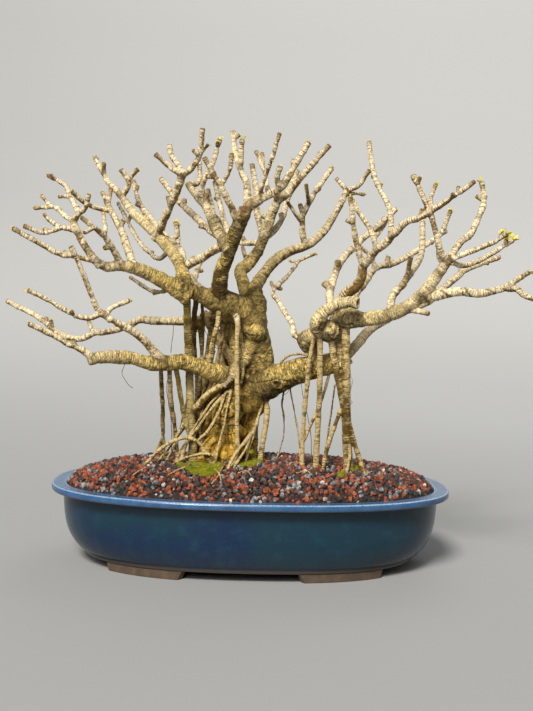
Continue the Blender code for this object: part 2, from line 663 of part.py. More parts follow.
def join_rings(builder, rings):
    """Skins rings into a closed body with flat ends."""
    for lower, upper in zip(rings, rings[1:]):
        for step in range(len(lower)):
            beyond = (step + 1) % len(lower)
            builder.faces.new((lower[step], lower[beyond], upper[beyond], upper[step]))
    builder.faces.new(list(reversed(rings[0])))
    builder.faces.new(rings[-1])
    bmesh.ops.triangulate(builder, faces=builder.faces[:])


def inner_profile(gap=0.0):
    """(inset, height) down the inside of the pot, from the rim to the floor."""
    floor = FOOT_HEIGHT + FLOOR_THICKNESS
    return (
        (RIM_FLAT + RIM_EDGE + gap, RIM_TOP - RIM_EDGE),
        (RIM_FLAT + 5 * MM + gap, RIM_TOP - 40 * MM),
        (BASE_INSET + gap, floor + 8 * MM),
        (BASE_INSET + 10 * MM + gap, floor + gap),
    )


def outer_profile():
    """(inset, height) up the outside of the pot, from its underside to the rim."""
    side_top = RIM_TOP - RIM_FACE
    side_foot = FOOT_HEIGHT + BAND_HEIGHT
    profile = [(BASE_INSET, FOOT_HEIGHT), (BASE_INSET - BAND_SLOPE, side_foot)]
    for share in (0.02, 0.12, 0.3, 0.6, 1.0):
        sweep = 1 - share
        inset = RIM_OVERHANG + WALL_LEAN * sweep + WALL_CURVE * sweep ** 4
        profile.append((inset, side_foot + (side_top - side_foot) * share))
    profile += [(RIM_EDGE, side_top), (0.0, side_top + RIM_EDGE), (0.0, RIM_TOP - RIM_EDGE)]
    profile += [(RIM_EDGE, RIM_TOP), (RIM_FLAT, RIM_TOP)]
    return profile


def build_pot(material):
    """The oval dish, its rim and the four curved feet under it, which are one piece of clay."""
    builder = bmesh.new()
    rings = [oval_ring(builder, inset, height) for inset, height in (*outer_profile(), *inner_profile())]
    join_rings(builder, rings)
    pot = add_object("pot", builder, material)
    group = bpy.data.collections.new("feet")
    bpy.context.scene.collection.children.link(group)
    for quarter in range(4):
        foot = build_foot(quarter)
        bpy.context.scene.collection.objects.unlink(foot)
        group.objects.link(foot)
    apply_boolean(pot, "UNION", collection=group)
    for foot in list(group.objects):
        bpy.data.objects.remove(foot, do_unlink=True)
    bpy.data.collections.remove(group)
    keep_largest(pot)
    return pot


def build_foot(quarter):
    """One foot: a strip that follows the oval, sunk into the pot's underside."""
    start, end = FOOT_ARC
    mirrored = quarter % 2
    base = 180 * (quarter // 2)
    angles = [base + (180 - angle if mirrored else angle) for angle in np.linspace(start, end, 7)]
    outer = BASE_INSET + FOOT_INSET
    inner = outer + FOOT_THICKNESS
    top = FOOT_HEIGHT + FOOT_SINK
    builder = bmesh.new()
    rings = []
    for angle in sorted(angles):
        ring = []
        for inset, height in ((outer, 0), (inner, 0), (inner, top), (outer, top)):
            place = oval_point(math.radians(angle + FOOT_SHIFT), inset, height)
            ring.append(builder.verts.new(place))
        rings.append(ring)
    join_rings(builder, rings)
    bmesh.ops.recalc_face_normals(builder, faces=builder.faces[:])
    return add_object(f"foot_{quarter}", builder, None)


def soil_height(share):
    """Height of the mound at a share of the way from its middle to its edge."""
    return RIM_TOP + SOIL_EDGE + MOUND * (1 - share ** 3) ** 0.6


def soil_mesh(lift=0.0):
    """The soil that fills the pot and rises above its rim."""
    builder = bmesh.new()
    profile = list(reversed(inner_profile(GAP)))
    rings = [oval_ring(builder, inset, height) for inset, height in profile]
    edge = profile[-1][0]
    for share in MOUND_RINGS:
        rings.append(oval_ring(builder, edge, soil_height(share) + lift, share))
    join_rings(builder, rings)
    return builder


def build_moss(material, soil_cutter, neighbours):
    """A low pad of moss on the soil in front of the trunk's foot, cut clear of the roots."""
    middle = Vector((MOSS_PLACE[0], MOSS_PLACE[1], soil_height(0) - 1 * MM))
    builder = bmesh.new()
    bmesh.ops.create_uvsphere(builder, u_segments=12, v_segments=6, radius=1.0)
    for vertex in builder.verts:
        lobe = 1 + MOSS_LOBE * math.sin(3 * math.atan2(vertex.co.y, vertex.co.x))
        vertex.co = Vector([size * part for size, part in zip(MOSS_SIZE, vertex.co)]) * lobe + middle
    moss = add_object("moss", builder, material)
    cut_by(moss, soil_cutter())
    balls = np.array([(*(moss.matrix_world @ vertex.co), 0.0) for vertex in moss.data.vertices])
    for node in neighbours:
        for tube in node.tubes:
            if clearance(balls, tube.balls()) < MOSS_REACH:
                cut_by(moss, tube.mesh(GAP))
    keep_largest(moss)
    return moss


def leaned(points, lean):
    """A twig's route, leaned forward or back more and more towards its tip."""
    route = [points[0]]
    for index, point in enumerate(points[1:], start=1):
        away = lean * MM * index / (len(points) - 1)
        sight = (point - Vector((EYE_ACROSS, -EYE_DISTANCE, EYE_HEIGHT))).normalized()
        route.append(point + sight * away / sight.y)
    return route


def is_clear(tube, obstacles, spared):
    """Whether a tube keeps off the obstacles, apart from the length next to where it starts."""
    balls = tube.balls()
    start = np.array(tube.points[0])
    far = balls[np.linalg.norm(balls[:, :3] - start, axis=1) > spared]
    if len(far) == 0:
        return True
    return clearance(far, obstacles) > 3 * GAP


def spur_from(tube, chance):
    """A short side shoot from a seeded place on a twig, turned away from it and upwards."""
    share = chance.uniform(*SPUR_PLACES)
    start = point_at(tube.points, share)
    ahead = (point_at(tube.points, min(share + 0.05, 1.0)) - start).normalized()
    outward = Vector((chance.uniform(-1, 1), chance.uniform(-1, 1), chance.uniform(-0.3, 1)))
    outward = (outward - ahead * outward.dot(ahead)).normalized()
    length = chance.uniform(*SPUR_LENGTH) * MM
    radius = float(np.interp(share, lengths_along(tube.points), tube.radii))
    end = start + (ahead * 0.7 + outward).normalized() * (length + radius)
    girth = 2 * radius / SQUARE / (1 + start.y / EYE_DISTANCE) * SPUR_SHARE
    return Tube([start, end], (girth, girth * 0.9), TWIG_SIDES, TWIG_STEP)


def build_mass(name, twigs, material, nodes, chance):
    """Twigs that branch from one stem, each leaned until it touches no other node, and their spurs."""
    parent = nodes[twigs[0]["on"]]
    others = [node.balls for key, node in nodes.items() if node is not parent]
    obstacles = np.concatenate(others)
    everything = np.concatenate([obstacles, parent.balls])
    tubes = []
    for twig in twigs:
        points = [sighted(place) for place in twig["places"]]
        spared = STEM_SPARED
        if "twig" in twig:
            points.insert(0, point_at(tubes[twig["twig"]].points, twig["share"]))
            spared = TWIG_SPARED
        for lean in (*LEANS, 0):
            tube = Tube(leaned(points, lean), twig["girth"], TWIG_SIDES, TWIG_STEP)
            if is_clear(tube, obstacles, spared) and is_clear(tube, parent.balls, PARENT_SPARED):
                break
        tubes.append(tube)
    corners = np.concatenate([tube.balls() for tube in tubes])[:, :3]
    low, high = corners.min(axis=0) - SPACE_MARGIN, corners.max(axis=0) + SPACE_MARGIN
    spurs = []
    for tube in tubes:
        length = sum((b - a).length for a, b in zip(tube.points, tube.points[1:]))
        for _ in range(int(length / SPUR_SPACING)):
            spur = spur_from(tube, chance)
            tip = np.array(spur.points[-1])
            inside = bool((tip > low).all() and (tip < high).all())
            if inside and clearance(spur.balls(), everything) > 3 * GAP:
                spurs.append(spur)
    tubes += spurs
    item = fuse(name, tubes, material)
    node = Node(item, tubes)
    seat_against(node, list(nodes.values()))
    keep_largest(item)
    return node


def build_limb(name, shape, material, nodes):
    """A bough, cut to a saddle where it meets the limbs before it."""
    tube = Tube([sighted(place) for place in shape["places"]], shape["girth"], BOUGH_SIDES, BOUGH_STEP)
    item = add_object(name, tube.mesh(), material)
    node = Node(item, [tube])
    seat_against(node, list(nodes.values()))
    keep_largest(item)
    return node


def build_roots(name, shapes, material, nodes, soil_cutter):
    """Aerial roots that join each other, cut to the limbs above and to the soil below."""
    tubes = []
    for shape in shapes:
        points = [sighted(place) for place in shape["places"]]
        tubes.append(Tube(points, shape["girth"], ROOT_SIDES, BOUGH_STEP * 1.4))
    item = fuse(name, tubes, material)
    node = Node(item, tubes)
    seat_against(node, list(nodes.values()))
    cut_by(item, soil_cutter())
    keep_largest(item)
    return node


def build_trunk(material, soil_cutter):
    """The trunk, from its flared foot on the soil to its fork."""
    points = [sighted(place) for place in TRUNK_PLACES]
    tube = Tube(points, TRUNK_GIRTHS, TRUNK_SIDES, BOUGH_STEP)
    item = add_object("trunk", tube.mesh(), material)
    cut_by(item, soil_cutter())
    keep_largest(item)
    return Node(item, [tube])


def centre_over_origin():
    """Hangs every piece on one empty, and moves it so that the whole is centred over the origin."""
    bpy.context.view_layer.update()
    pieces = [item for item in bpy.data.objects if item.type == "MESH"]
    corners = np.array([
        tuple(item.matrix_world @ vertex.co) for item in pieces for vertex in item.data.vertices])
    middle = (corners.min(axis=0) + corners.max(axis=0)) / 2
    root = bpy.data.objects.new("bonsai", None)
    bpy.context.scene.collection.objects.link(root)
    for item in pieces:
        item.parent = root
    root.location = (-middle[0], -middle[1], 0.0)


def main():
    clear_scene()
    chance = random.Random(SEED)
    materials = {name: make_material(name) for name in MATERIALS}

    def soil_cutter():
        return soil_mesh(GAP)

    build_pot(materials["glaze"])
    add_object("soil", soil_mesh(), materials["soil"])
    nodes = {"trunk": build_trunk(materials["bark"], soil_cutter)}
    for name, shape in BOUGHS.items():
        nodes[name] = build_limb(name, shape, materials["bark"], nodes)
    for name, shapes in ROOTS.items():
        nodes[name] = build_roots(name, shapes, materials["bark"], nodes, soil_cutter)
    for name, twigs in MASSES.items():
        nodes[name] = build_mass(name, twigs, materials["twig"], nodes, chance)
    build_moss(materials["moss"], soil_cutter, list(nodes.values()))
    centre_over_origin()


main()
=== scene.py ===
import math
import random

import bmesh
import bpy
import numpy as np
from mathutils import Matrix, Vector


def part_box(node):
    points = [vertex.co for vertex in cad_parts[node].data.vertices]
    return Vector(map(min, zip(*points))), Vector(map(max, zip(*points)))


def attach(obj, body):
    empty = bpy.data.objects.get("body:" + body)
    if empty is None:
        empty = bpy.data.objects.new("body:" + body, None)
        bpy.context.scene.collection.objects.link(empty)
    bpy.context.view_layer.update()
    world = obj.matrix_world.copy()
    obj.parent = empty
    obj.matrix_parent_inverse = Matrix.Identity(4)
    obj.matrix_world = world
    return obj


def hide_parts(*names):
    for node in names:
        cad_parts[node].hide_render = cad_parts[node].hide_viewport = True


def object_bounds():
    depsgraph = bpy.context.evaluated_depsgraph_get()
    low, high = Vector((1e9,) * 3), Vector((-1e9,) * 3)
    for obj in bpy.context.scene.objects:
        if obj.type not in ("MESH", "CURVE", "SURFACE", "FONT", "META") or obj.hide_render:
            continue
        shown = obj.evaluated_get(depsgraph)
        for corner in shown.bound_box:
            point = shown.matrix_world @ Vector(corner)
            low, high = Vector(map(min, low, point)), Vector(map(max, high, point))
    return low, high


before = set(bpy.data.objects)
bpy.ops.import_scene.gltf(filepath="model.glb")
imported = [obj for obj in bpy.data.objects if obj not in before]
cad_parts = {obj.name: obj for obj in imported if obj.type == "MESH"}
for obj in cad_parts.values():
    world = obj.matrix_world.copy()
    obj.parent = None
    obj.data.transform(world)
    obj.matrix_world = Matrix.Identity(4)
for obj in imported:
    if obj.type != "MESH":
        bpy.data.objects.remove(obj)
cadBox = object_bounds()
mm = 0.001

# the front elevation that the limbs are drawn on, as in the part's source
elevation = {
    "square": 1.3 * mm,  # one square of the paper, at the pot's mid-plane
    "eyeDistance": 1.300,
    "eyeColumn": 266.5,
    "eyeRow": 312.0,  # the row at the height of the eye
    "eyeAcross": 15.8 * mm,
    "eyeAboveRim": 220.6 * mm,
    "turn": math.radians(1.5),  # the drawing leans by this much
    "turnRow": 355.5,
}

potLow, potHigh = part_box("pot")
potMiddle = np.array([(potLow.x + potHigh.x) / 2, (potLow.y + potHigh.y) / 2, 0.0])
rimTop = potHigh.z
eyeHeight = rimTop + elevation["eyeAboveRim"]
leanCos, leanSin = math.cos(elevation["turn"]), math.sin(elevation["turn"])


def placeOf(place):
    # where a place (column, row, depth in mm) of the elevation lies
    column, row, depth = place
    across = (column - elevation["eyeColumn"]) * elevation["square"]
    up = (elevation["turnRow"] - row) * elevation["square"]
    away = 1 + depth * mm / elevation["eyeDistance"]
    levelAcross = across * leanCos - up * leanSin
    levelUp = across * leanSin + up * leanCos
    aboveEye = levelUp - (elevation["turnRow"] - elevation["eyeRow"]) * elevation["square"]
    spot = np.array([elevation["eyeAcross"] + levelAcross * away, depth * mm, eyeHeight + aboveEye * away])
    return spot + potMiddle


def seenAt(points):
    # the column and row at which points show on the elevation
    spots = points - potMiddle
    away = 1 + spots[:, 1] / elevation["eyeDistance"]
    levelAcross = (spots[:, 0] - elevation["eyeAcross"]) / away
    levelUp = (spots[:, 2] - eyeHeight) / away
    levelUp += (elevation["turnRow"] - elevation["eyeRow"]) * elevation["square"]
    across = levelAcross * leanCos + levelUp * leanSin
    up = levelUp * leanCos - levelAcross * leanSin
    columns = elevation["eyeColumn"] + across / elevation["square"]
    return columns, elevation["turnRow"] - up / elevation["square"]


class Wire:
    # one output socket of a material's tree; arithmetic on it adds Math nodes

    def __init__(self, tree, socket):
        self.tree = tree
        self.socket = socket

    def math(self, operation, *others):
        node = self.tree.nodes.new("ShaderNodeMath")
        node.operation = operation
        for index, value in enumerate((self, *others)):
            if isinstance(value, Wire):
                self.tree.links.new(value.socket, node.inputs[index])
            else:
                node.inputs[index].default_value = value
        return Wire(self.tree, node.outputs[0])

    def __add__(self, other):
        return self.math("ADD", other)

    def __sub__(self, other):
        return self.math("SUBTRACT", other)

    def __rsub__(self, other):
        return self.math("MULTIPLY", -1.0).math("ADD", other)

    def __mul__(self, other):
        return self.math("MULTIPLY", other)

    def __truediv__(self, other):
        return self.math("DIVIDE", other)

    __radd__ = __add__
    __rmul__ = __mul__

    def step(self, low, high):
        # 0 at low, 1 at high, straight between them
        return ((self - low) / (high - low)).math("MAXIMUM", 0.0).math("MINIMUM", 1.0)

    def ridge(self, foot, top):
        # 1 where the value is about a half, 0 where it is further than foot from it
        return (self - 0.5).math("ABSOLUTE").step(foot, top)


class Finish:
    # a material under construction

    def __init__(self, name):
        self.material = bpy.data.materials.new(name)
        self.material.use_nodes = True
        self.tree = self.material.node_tree
        self.shader = self.tree.nodes["Principled BSDF"]
        self.place = self.node("ShaderNodeTexCoord", output="Object")

    def node(self, kind, settings=None, values=None, output=0):
        node = self.tree.nodes.new(kind)
        for key, value in (settings or {}).items():
            setattr(node, key, value)
        for key, value in (values or {}).items():
            self.set(node.inputs[key], value)
        return Wire(self.tree, node.outputs[output])

    def set(self, socket, value):
        if isinstance(value, Wire):
            self.tree.links.new(value.socket, socket)
        elif socket.type == "RGBA":
            socket.default_value = (*value, 1.0)
        else:
            socket.default_value = value

    def attribute(self, name):
        return self.node("ShaderNodeAttribute", {"attribute_name": name}, output="Fac")

    def height(self):
        return self.node("ShaderNodeSeparateXYZ", values={0: self.place}, output="Z")

    def noise(self, scale, detail=2.0, roughness=0.5, **fourth):
        settings = {"noise_dimensions": "4D"} if fourth else {}
        values = {"Vector": self.place, "Scale": scale, "Detail": detail, "Roughness": roughness, **fourth}
        return self.node("ShaderNodeTexNoise", settings, values)

    def mix(self, share, first, second):
        return self.node("ShaderNodeMix", {"data_type": "RGBA"}, {0: share, 6: first, 7: second}, output=2)

    def layered(self, colour, *layers):
        # colours laid one over the other, each with its share
        for share, layer in layers:
            colour = self.mix(share, colour, layer)
        return colour

    def bump(self, height, distance, strength=1.0):
        values = {"Height": height, "Distance": distance, "Strength": strength}
        return self.node("ShaderNodeBump", values=values)

    def done(self, **values):
        for key, value in values.items():
            self.set(self.shader.inputs[key.replace("_", " ")], value)
        return self.material


hashFactors = np.array([73856093, 19349663, 83492791])


def softNoise(points, size, seed=0):
    # smooth noise from -1 to 1 with features about size across
    grid = points / size + 11.7 * seed
    cell = np.floor(grid).astype(np.int64)
    part = grid - cell
    part = part * part * (3 - 2 * part)
    total = np.zeros(len(points))
    for corner in range(8):
        step = np.array([corner & 1, corner >> 1 & 1, corner >> 2 & 1])
        mixed = ((cell + step) * hashFactors).sum(axis=1) + seed * 7919
        mixed = (mixed ^ (mixed >> 13)) * 1274126177
        value = ((mixed ^ (mixed >> 16)) & 0xFFFFFF) / 0x7FFFFF - 1
        total += value * np.prod(np.where(step == 1, part, 1 - part), axis=1)
    return total


def smoothStep(values, low, high):
    share = np.clip((values - low) / (high - low), 0, 1)
    return share * share * (3 - 2 * share)


def bell(values, width):
    # 1 at nought, fading within about that width on either side
    return np.exp(-(values / width) ** 2)


def linked(name, data):
    item = bpy.data.objects.new(name, data)
    bpy.context.scene.collection.objects.link(item)
    return item


def newObject(name, points, faces, material=None, edges=()):
    mesh = bpy.data.meshes.new(name)
    mesh.from_pydata([tuple(point) for point in points], edges, [tuple(face) for face in faces])
    if material:
        mesh.materials.append(material)
    return linked(name, mesh)


def together(shapes):
    # the points and faces of several shapes as those of one
    points, faces, start = [], [], 0
    for part, skin in shapes:
        points.append(part)
        faces += [[corner + start for corner in face] for face in skin]
        start += len(part)
    return np.concatenate(points), faces


def ringSkin(rings, foot=True, top=True):
    # faces between rings of equal count, with flat ends
    count = len(rings[0])
    corner = np.arange(count)
    beyond = (corner + 1) % count
    faces = []
    for ring in range(len(rings) - 1):
        low, high = ring * count, (ring + 1) * count
        faces += np.stack([low + corner, low + beyond, high + beyond, high + corner], axis=1).tolist()
    if foot:
        faces.append(list(reversed(range(count))))
    if top:
        faces.append(list(range((len(rings) - 1) * count, len(rings) * count)))
    return np.concatenate(rings), faces


def meshArrays(mesh):
    points = np.zeros(len(mesh.vertices) * 3)
    mesh.vertices.foreach_get("co", points)
    corners = np.zeros(len(mesh.loops), dtype=np.int64)
    mesh.loops.foreach_get("vertex_index", corners)
    return points.reshape(-1, 3), corners


def evaluatedMesh(item):
    # the item's mesh with its modifiers applied, as a new mesh; the item itself goes
    bpy.context.view_layer.update()
    mesh = bpy.data.meshes.new_from_object(item.evaluated_get(bpy.context.evaluated_depsgraph_get()))
    name = item.name
    discard(item)
    mesh.name = name
    return mesh


def remeshed(item, voxel):
    # one closed skin over all that the item holds
    skin = item.modifiers.new("skin", "REMESH")
    skin.mode = "VOXEL"
    skin.voxel_size = voxel
    return evaluatedMesh(item)


def discard(item):
    mesh = item.data
    bpy.data.objects.remove(item, do_unlink=True)
    if mesh.users == 0:
        bpy.data.meshes.remove(mesh)


def addAttribute(mesh, name, values):
    layer = mesh.attributes.new(name, "FLOAT", "POINT")
    layer.data.foreach_set("value", np.asarray(values, dtype=np.float32))


def seat(item, slot, *replaced):
    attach(item, "root")
    if replaced:
        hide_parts(*replaced)


# limbs: their routes, thickness and skin
wood = {
    "step": 2.4 * mm,  # between the rings of a limb
    "twigStep": 1.8 * mm,
    "sides": 22,  # of a ring, before the skin is drawn over
    "twigSides": 12,
    "lead": 7 * mm,  # a stem begins this far inside the end of its bough
    "sideLead": 1.5 * mm,  # and this far behind the middle of a bough that it leaves sideways
    "collar": 0.30,  # widening where a limb leaves another
    "foot": (0.35, 9 * mm),  # widening where a root enters the soil, and how far up it reaches
    "tipSwell": 0.10,
    "fillet": 26,  # smoothing rounds where limbs meet
    "voxels": {"trunkWood": 1.5 * mm, "rightWood": 1.35 * mm},  # how finely a skin is drawn over its limbs
    "voxel": 1.15 * mm,  # for the roots and twigs
    "uneven": {"trunk": 0.03, "bough": 0.05, "root": 0.07, "twig": 0.06},  # of the girth
    "wobble": {"trunk": 0.0, "bough": 0.9 * mm, "root": 0.6 * mm, "twig": 0.7 * mm},
    "slimmer": {"trunk": 1.0, "bough": 0.97, "root": 0.88, "twig": 1.0},  # leaves room for the bark's relief
}


def limb(girths, *places, **traits):
    # a limb's girths in squares and its places, from its foot to its end
    return {"girths": girths, "places": places, "traits": traits}


def side(twig, share, girths, *places, **traits):
    # a twig that leaves an earlier twig of its mass at a share of its length
    return {"twig": twig, "share": share, "girths": girths, "places": places, "traits": traits}


trunkShape = limb(
    (56, 43, 42, 50, 56, 42, 34, 29, 26, 19), (218, 470, 26), (221, 452, 26), (225, 430, 24), (234, 408, 20),
    (247, 388, 14), (256, 368, 10), (256, 350, 8), (253, 330, 4), (254, 313, 2), (257, 297, 4))

boughTable = {
    "bough_shoulder": limb(
        (21, 15), (250, 313, 0), (235, 303, -14), (218, 302, -26), (203, 296, -34), (188, 288, -40)),
    "bough_front": limb(
        (16, 14), (219, 302, -26), (220, 280, -44), (226, 260, -58), (232, 242, -67), (239, 226, -76),
        (246, 212, -84)),
    "bough_left_crown": limb(
        (16, 12.5, 11.5, 10.5, 8.5), (184, 287, -40), (182, 270, -38), (175, 257, -28), (163, 241, -10),
        (150, 228, 8), (134, 213, 26), (123, 199, 40)),
    "bough_left_upper": limb(
        (19, 10), (188, 294, -40), (165, 282, -54), (150, 274, -62), (134, 268, -72), (120, 266, -82),
        (106, 267, -91), (98, 263, -97)),
    "bough_back_leader": limb(
        (15, 12), (252, 303, 6), (244, 285, 30), (240, 272, 47), (249, 264, 58), (258, 251, 62),
        (263, 239, 61)),
    "bough_right_centre": limb(
        (14, 6.5), (257, 303, 2), (256, 288, 14), (261, 277, 28), (270, 266, 42), (280, 257, 54),
        (292, 250, 66), (306, 246, 78), (318, 237, 88), (326, 228, 96), (336, 212, 106), (344, 197, 112)),
    "bough_arm": limb(
        (31, 22), (256, 386, 6), (280, 378, -8), (300, 370, -18), (320, 366, -26), (342, 361, -30)),
    "bough_hub": limb((19, 17), (341, 364, -32), (340, 346, -38), (337, 330, -44), (337, 316, -44)),
    "bough_elbow": limb(
        (11, 12, 18, 19, 19), (317, 368, -22), (312, 353, -26), (306, 341, -30), (315, 334, -36),
        (328, 330, -42)),
    "bough_knob": limb(
        (14, 12), (333, 335, -48), (319, 332, -62), (318, 319, -75), (331, 307, -81), (346, 302, -85),
        (359, 303, -90)),
    "bough_right_main": limb(
        (17, 11), (340, 319, -46), (361, 319, -64), (378, 317, -76), (394, 313, -88), (409, 306, -98),
        (422, 295, -108), (433, 281, -116), (444, 266, -122)),
    "bough_right_low": limb(
        (11, 8), (424, 297, -108), (440, 295, -115), (462, 291, -124), (478, 293, -132), (503, 289, -142)),
    "bough_right_back": limb(
        (11, 7), (338, 366, -20), (355, 346, 4), (372, 328, 30), (398, 313, 60), (425, 303, 84),
        (441, 290, 104), (464, 270, 124)),
    "bough_right_high": limb(
        (12, 10), (335, 312, -46), (345, 295, -55), (355, 287, -61), (361, 277, -64), (363, 267, -68)),
    "bough_left_low": limb(
        (21, 11), (240, 384, 0), (228, 378, -14), (214, 373, -26), (198, 367, -36), (182, 362, -41),
        (166, 363, -46), (150, 363, -54), (130, 358, -64), (115, 357, -72), (100, 357, -80), (88, 361, -86)),
    "bough_left_rise": limb(
        (10, 7.5), (163, 361, -48), (147, 343, -62), (138, 335, -70), (128, 329, -78), (118, 324, -84),
        (107, 317, -90)),
    "bough_left_back": limb(
        (11, 6.5), (252, 330, 12), (225, 323, 28), (205, 320, 32), (185, 321, 34), (155, 321, 38),
        (140, 320, 44), (128, 326, 50), (105, 332, 62), (95, 333, 68)),
}

rootTable = {
    "root_pillar_left": (
        limb((9, 10), (187, 289, -40), (187, 312, -36), (188, 334, -22), (189, 362, -13), (190, 394, -17),
             (192, 441, -27), (194, 470, -31)),
        limb((6, 6), (176, 365, -41), (180, 394, -30), (185, 420, -26), (192, 441, -27)),
    ),
    "root_pillar_inner": (
        limb((6.5, 6), (197, 293, -36), (194, 318, -12), (194, 346, 8), (197, 385, 20), (195, 420, 24),
             (191, 468, 26)),
    ),
    "root_curtain_left": (
        limb((5, 5), (161, 364, -48), (162, 390, -22), (163, 420, 12), (163, 468, 42)),
        limb((4, 4), (163, 436, 22), (157, 452, 34), (147, 470, 40)),
    ),
    "root_curtain_right": (limb((5.5, 5), (169, 364, -45), (171, 400, -20), (175, 430, 2), (178, 468, 22)),),
    "root_shoulder": (limb((6, 6), (219, 304, -27), (218, 320, -36), (214, 338, -38), (209, 366, -32)),),
    "root_inner": (limb((8, 9), (207, 321, 30), (215, 335, 16), (224, 350, 6), (238, 372, -2)),),
    "root_front": (
        limb((5.5, 5), (236, 304, -15), (238, 320, -32), (237, 350, -38), (237, 400, -42), (237, 441, -42),
             (237, 470, -40)),
    ),
    "root_strut": (
        limb((9, 8), (238, 372, -8), (222, 385, -26), (208, 395, -28), (196, 408, -23), (191, 414, -20)),
    ),
    "roots_surface": (
        limb((4, 3.8), (232, 388, -10), (224, 395, -28), (211, 409, -36), (198, 427, -40), (187, 443, -41),
             (179, 470, -40)),
        limb((3.6, 3.4), (225, 394, -27), (219, 411, -36), (208, 430, -45), (197, 442, -52)),
        limb((4.2, 4.8), (141, 470, -36), (152, 457, -42), (162, 448, -46), (174, 441, -50), (187, 438, -52),
             (197, 442, -52), (204, 451, -50), (212, 468, -48)),
    ),
    "roots_foot": (
        limb((4, 4), (263, 400, 4), (255, 428, -16), (246, 441, -34), (237, 452, -52), (230, 464, -62),
             (223, 484, -72)),
        limb((3.6, 3.4), (259, 414, -6), (256, 430, -6), (249, 447, -16), (245, 470, -24)),
        limb((7, 6), (263, 400, 4), (267, 408, 2), (266, 425, 0), (263, 441, -4), (258, 480, -10)),
    ),
    "roots_right": (
        limb((5.5, 5), (316, 332, -38), (313, 342, -50), (309, 365, -54), (306, 394, -48), (303, 433, -38),
             (302, 474, -34)),
        limb((4, 4), (331, 364, -30), (327, 384, -32), (318, 408, -36), (304, 440, -37)),
    ),
    "root_right_middle": (
        limb((6.5, 6.5), (320, 331, -62), (320, 345, -60), (320, 371, -58), (319, 403, -49), (317, 441, -40),
             (315, 476, -36)),
    ),
    "root_pillar_right": (
        limb((10, 11), (345, 320, -50), (346, 345, -56), (346, 375, -56), (346, 403, -50), (347, 440, -43),
             (349, 478, -40)),
        limb((7.5, 7), (331, 334, -50), (333, 350, -56), (336, 370, -58), (340, 390, -55), (344, 410, -49)),
        limb((5, 5), (345, 400, -50), (337, 420, -52), (328, 446, -52), (321, 480, -52)),
        limb((5.5, 5.5), (347, 410, -49), (354, 441, -46), (359, 458, -46), (367, 486, -48)),
    ),
}

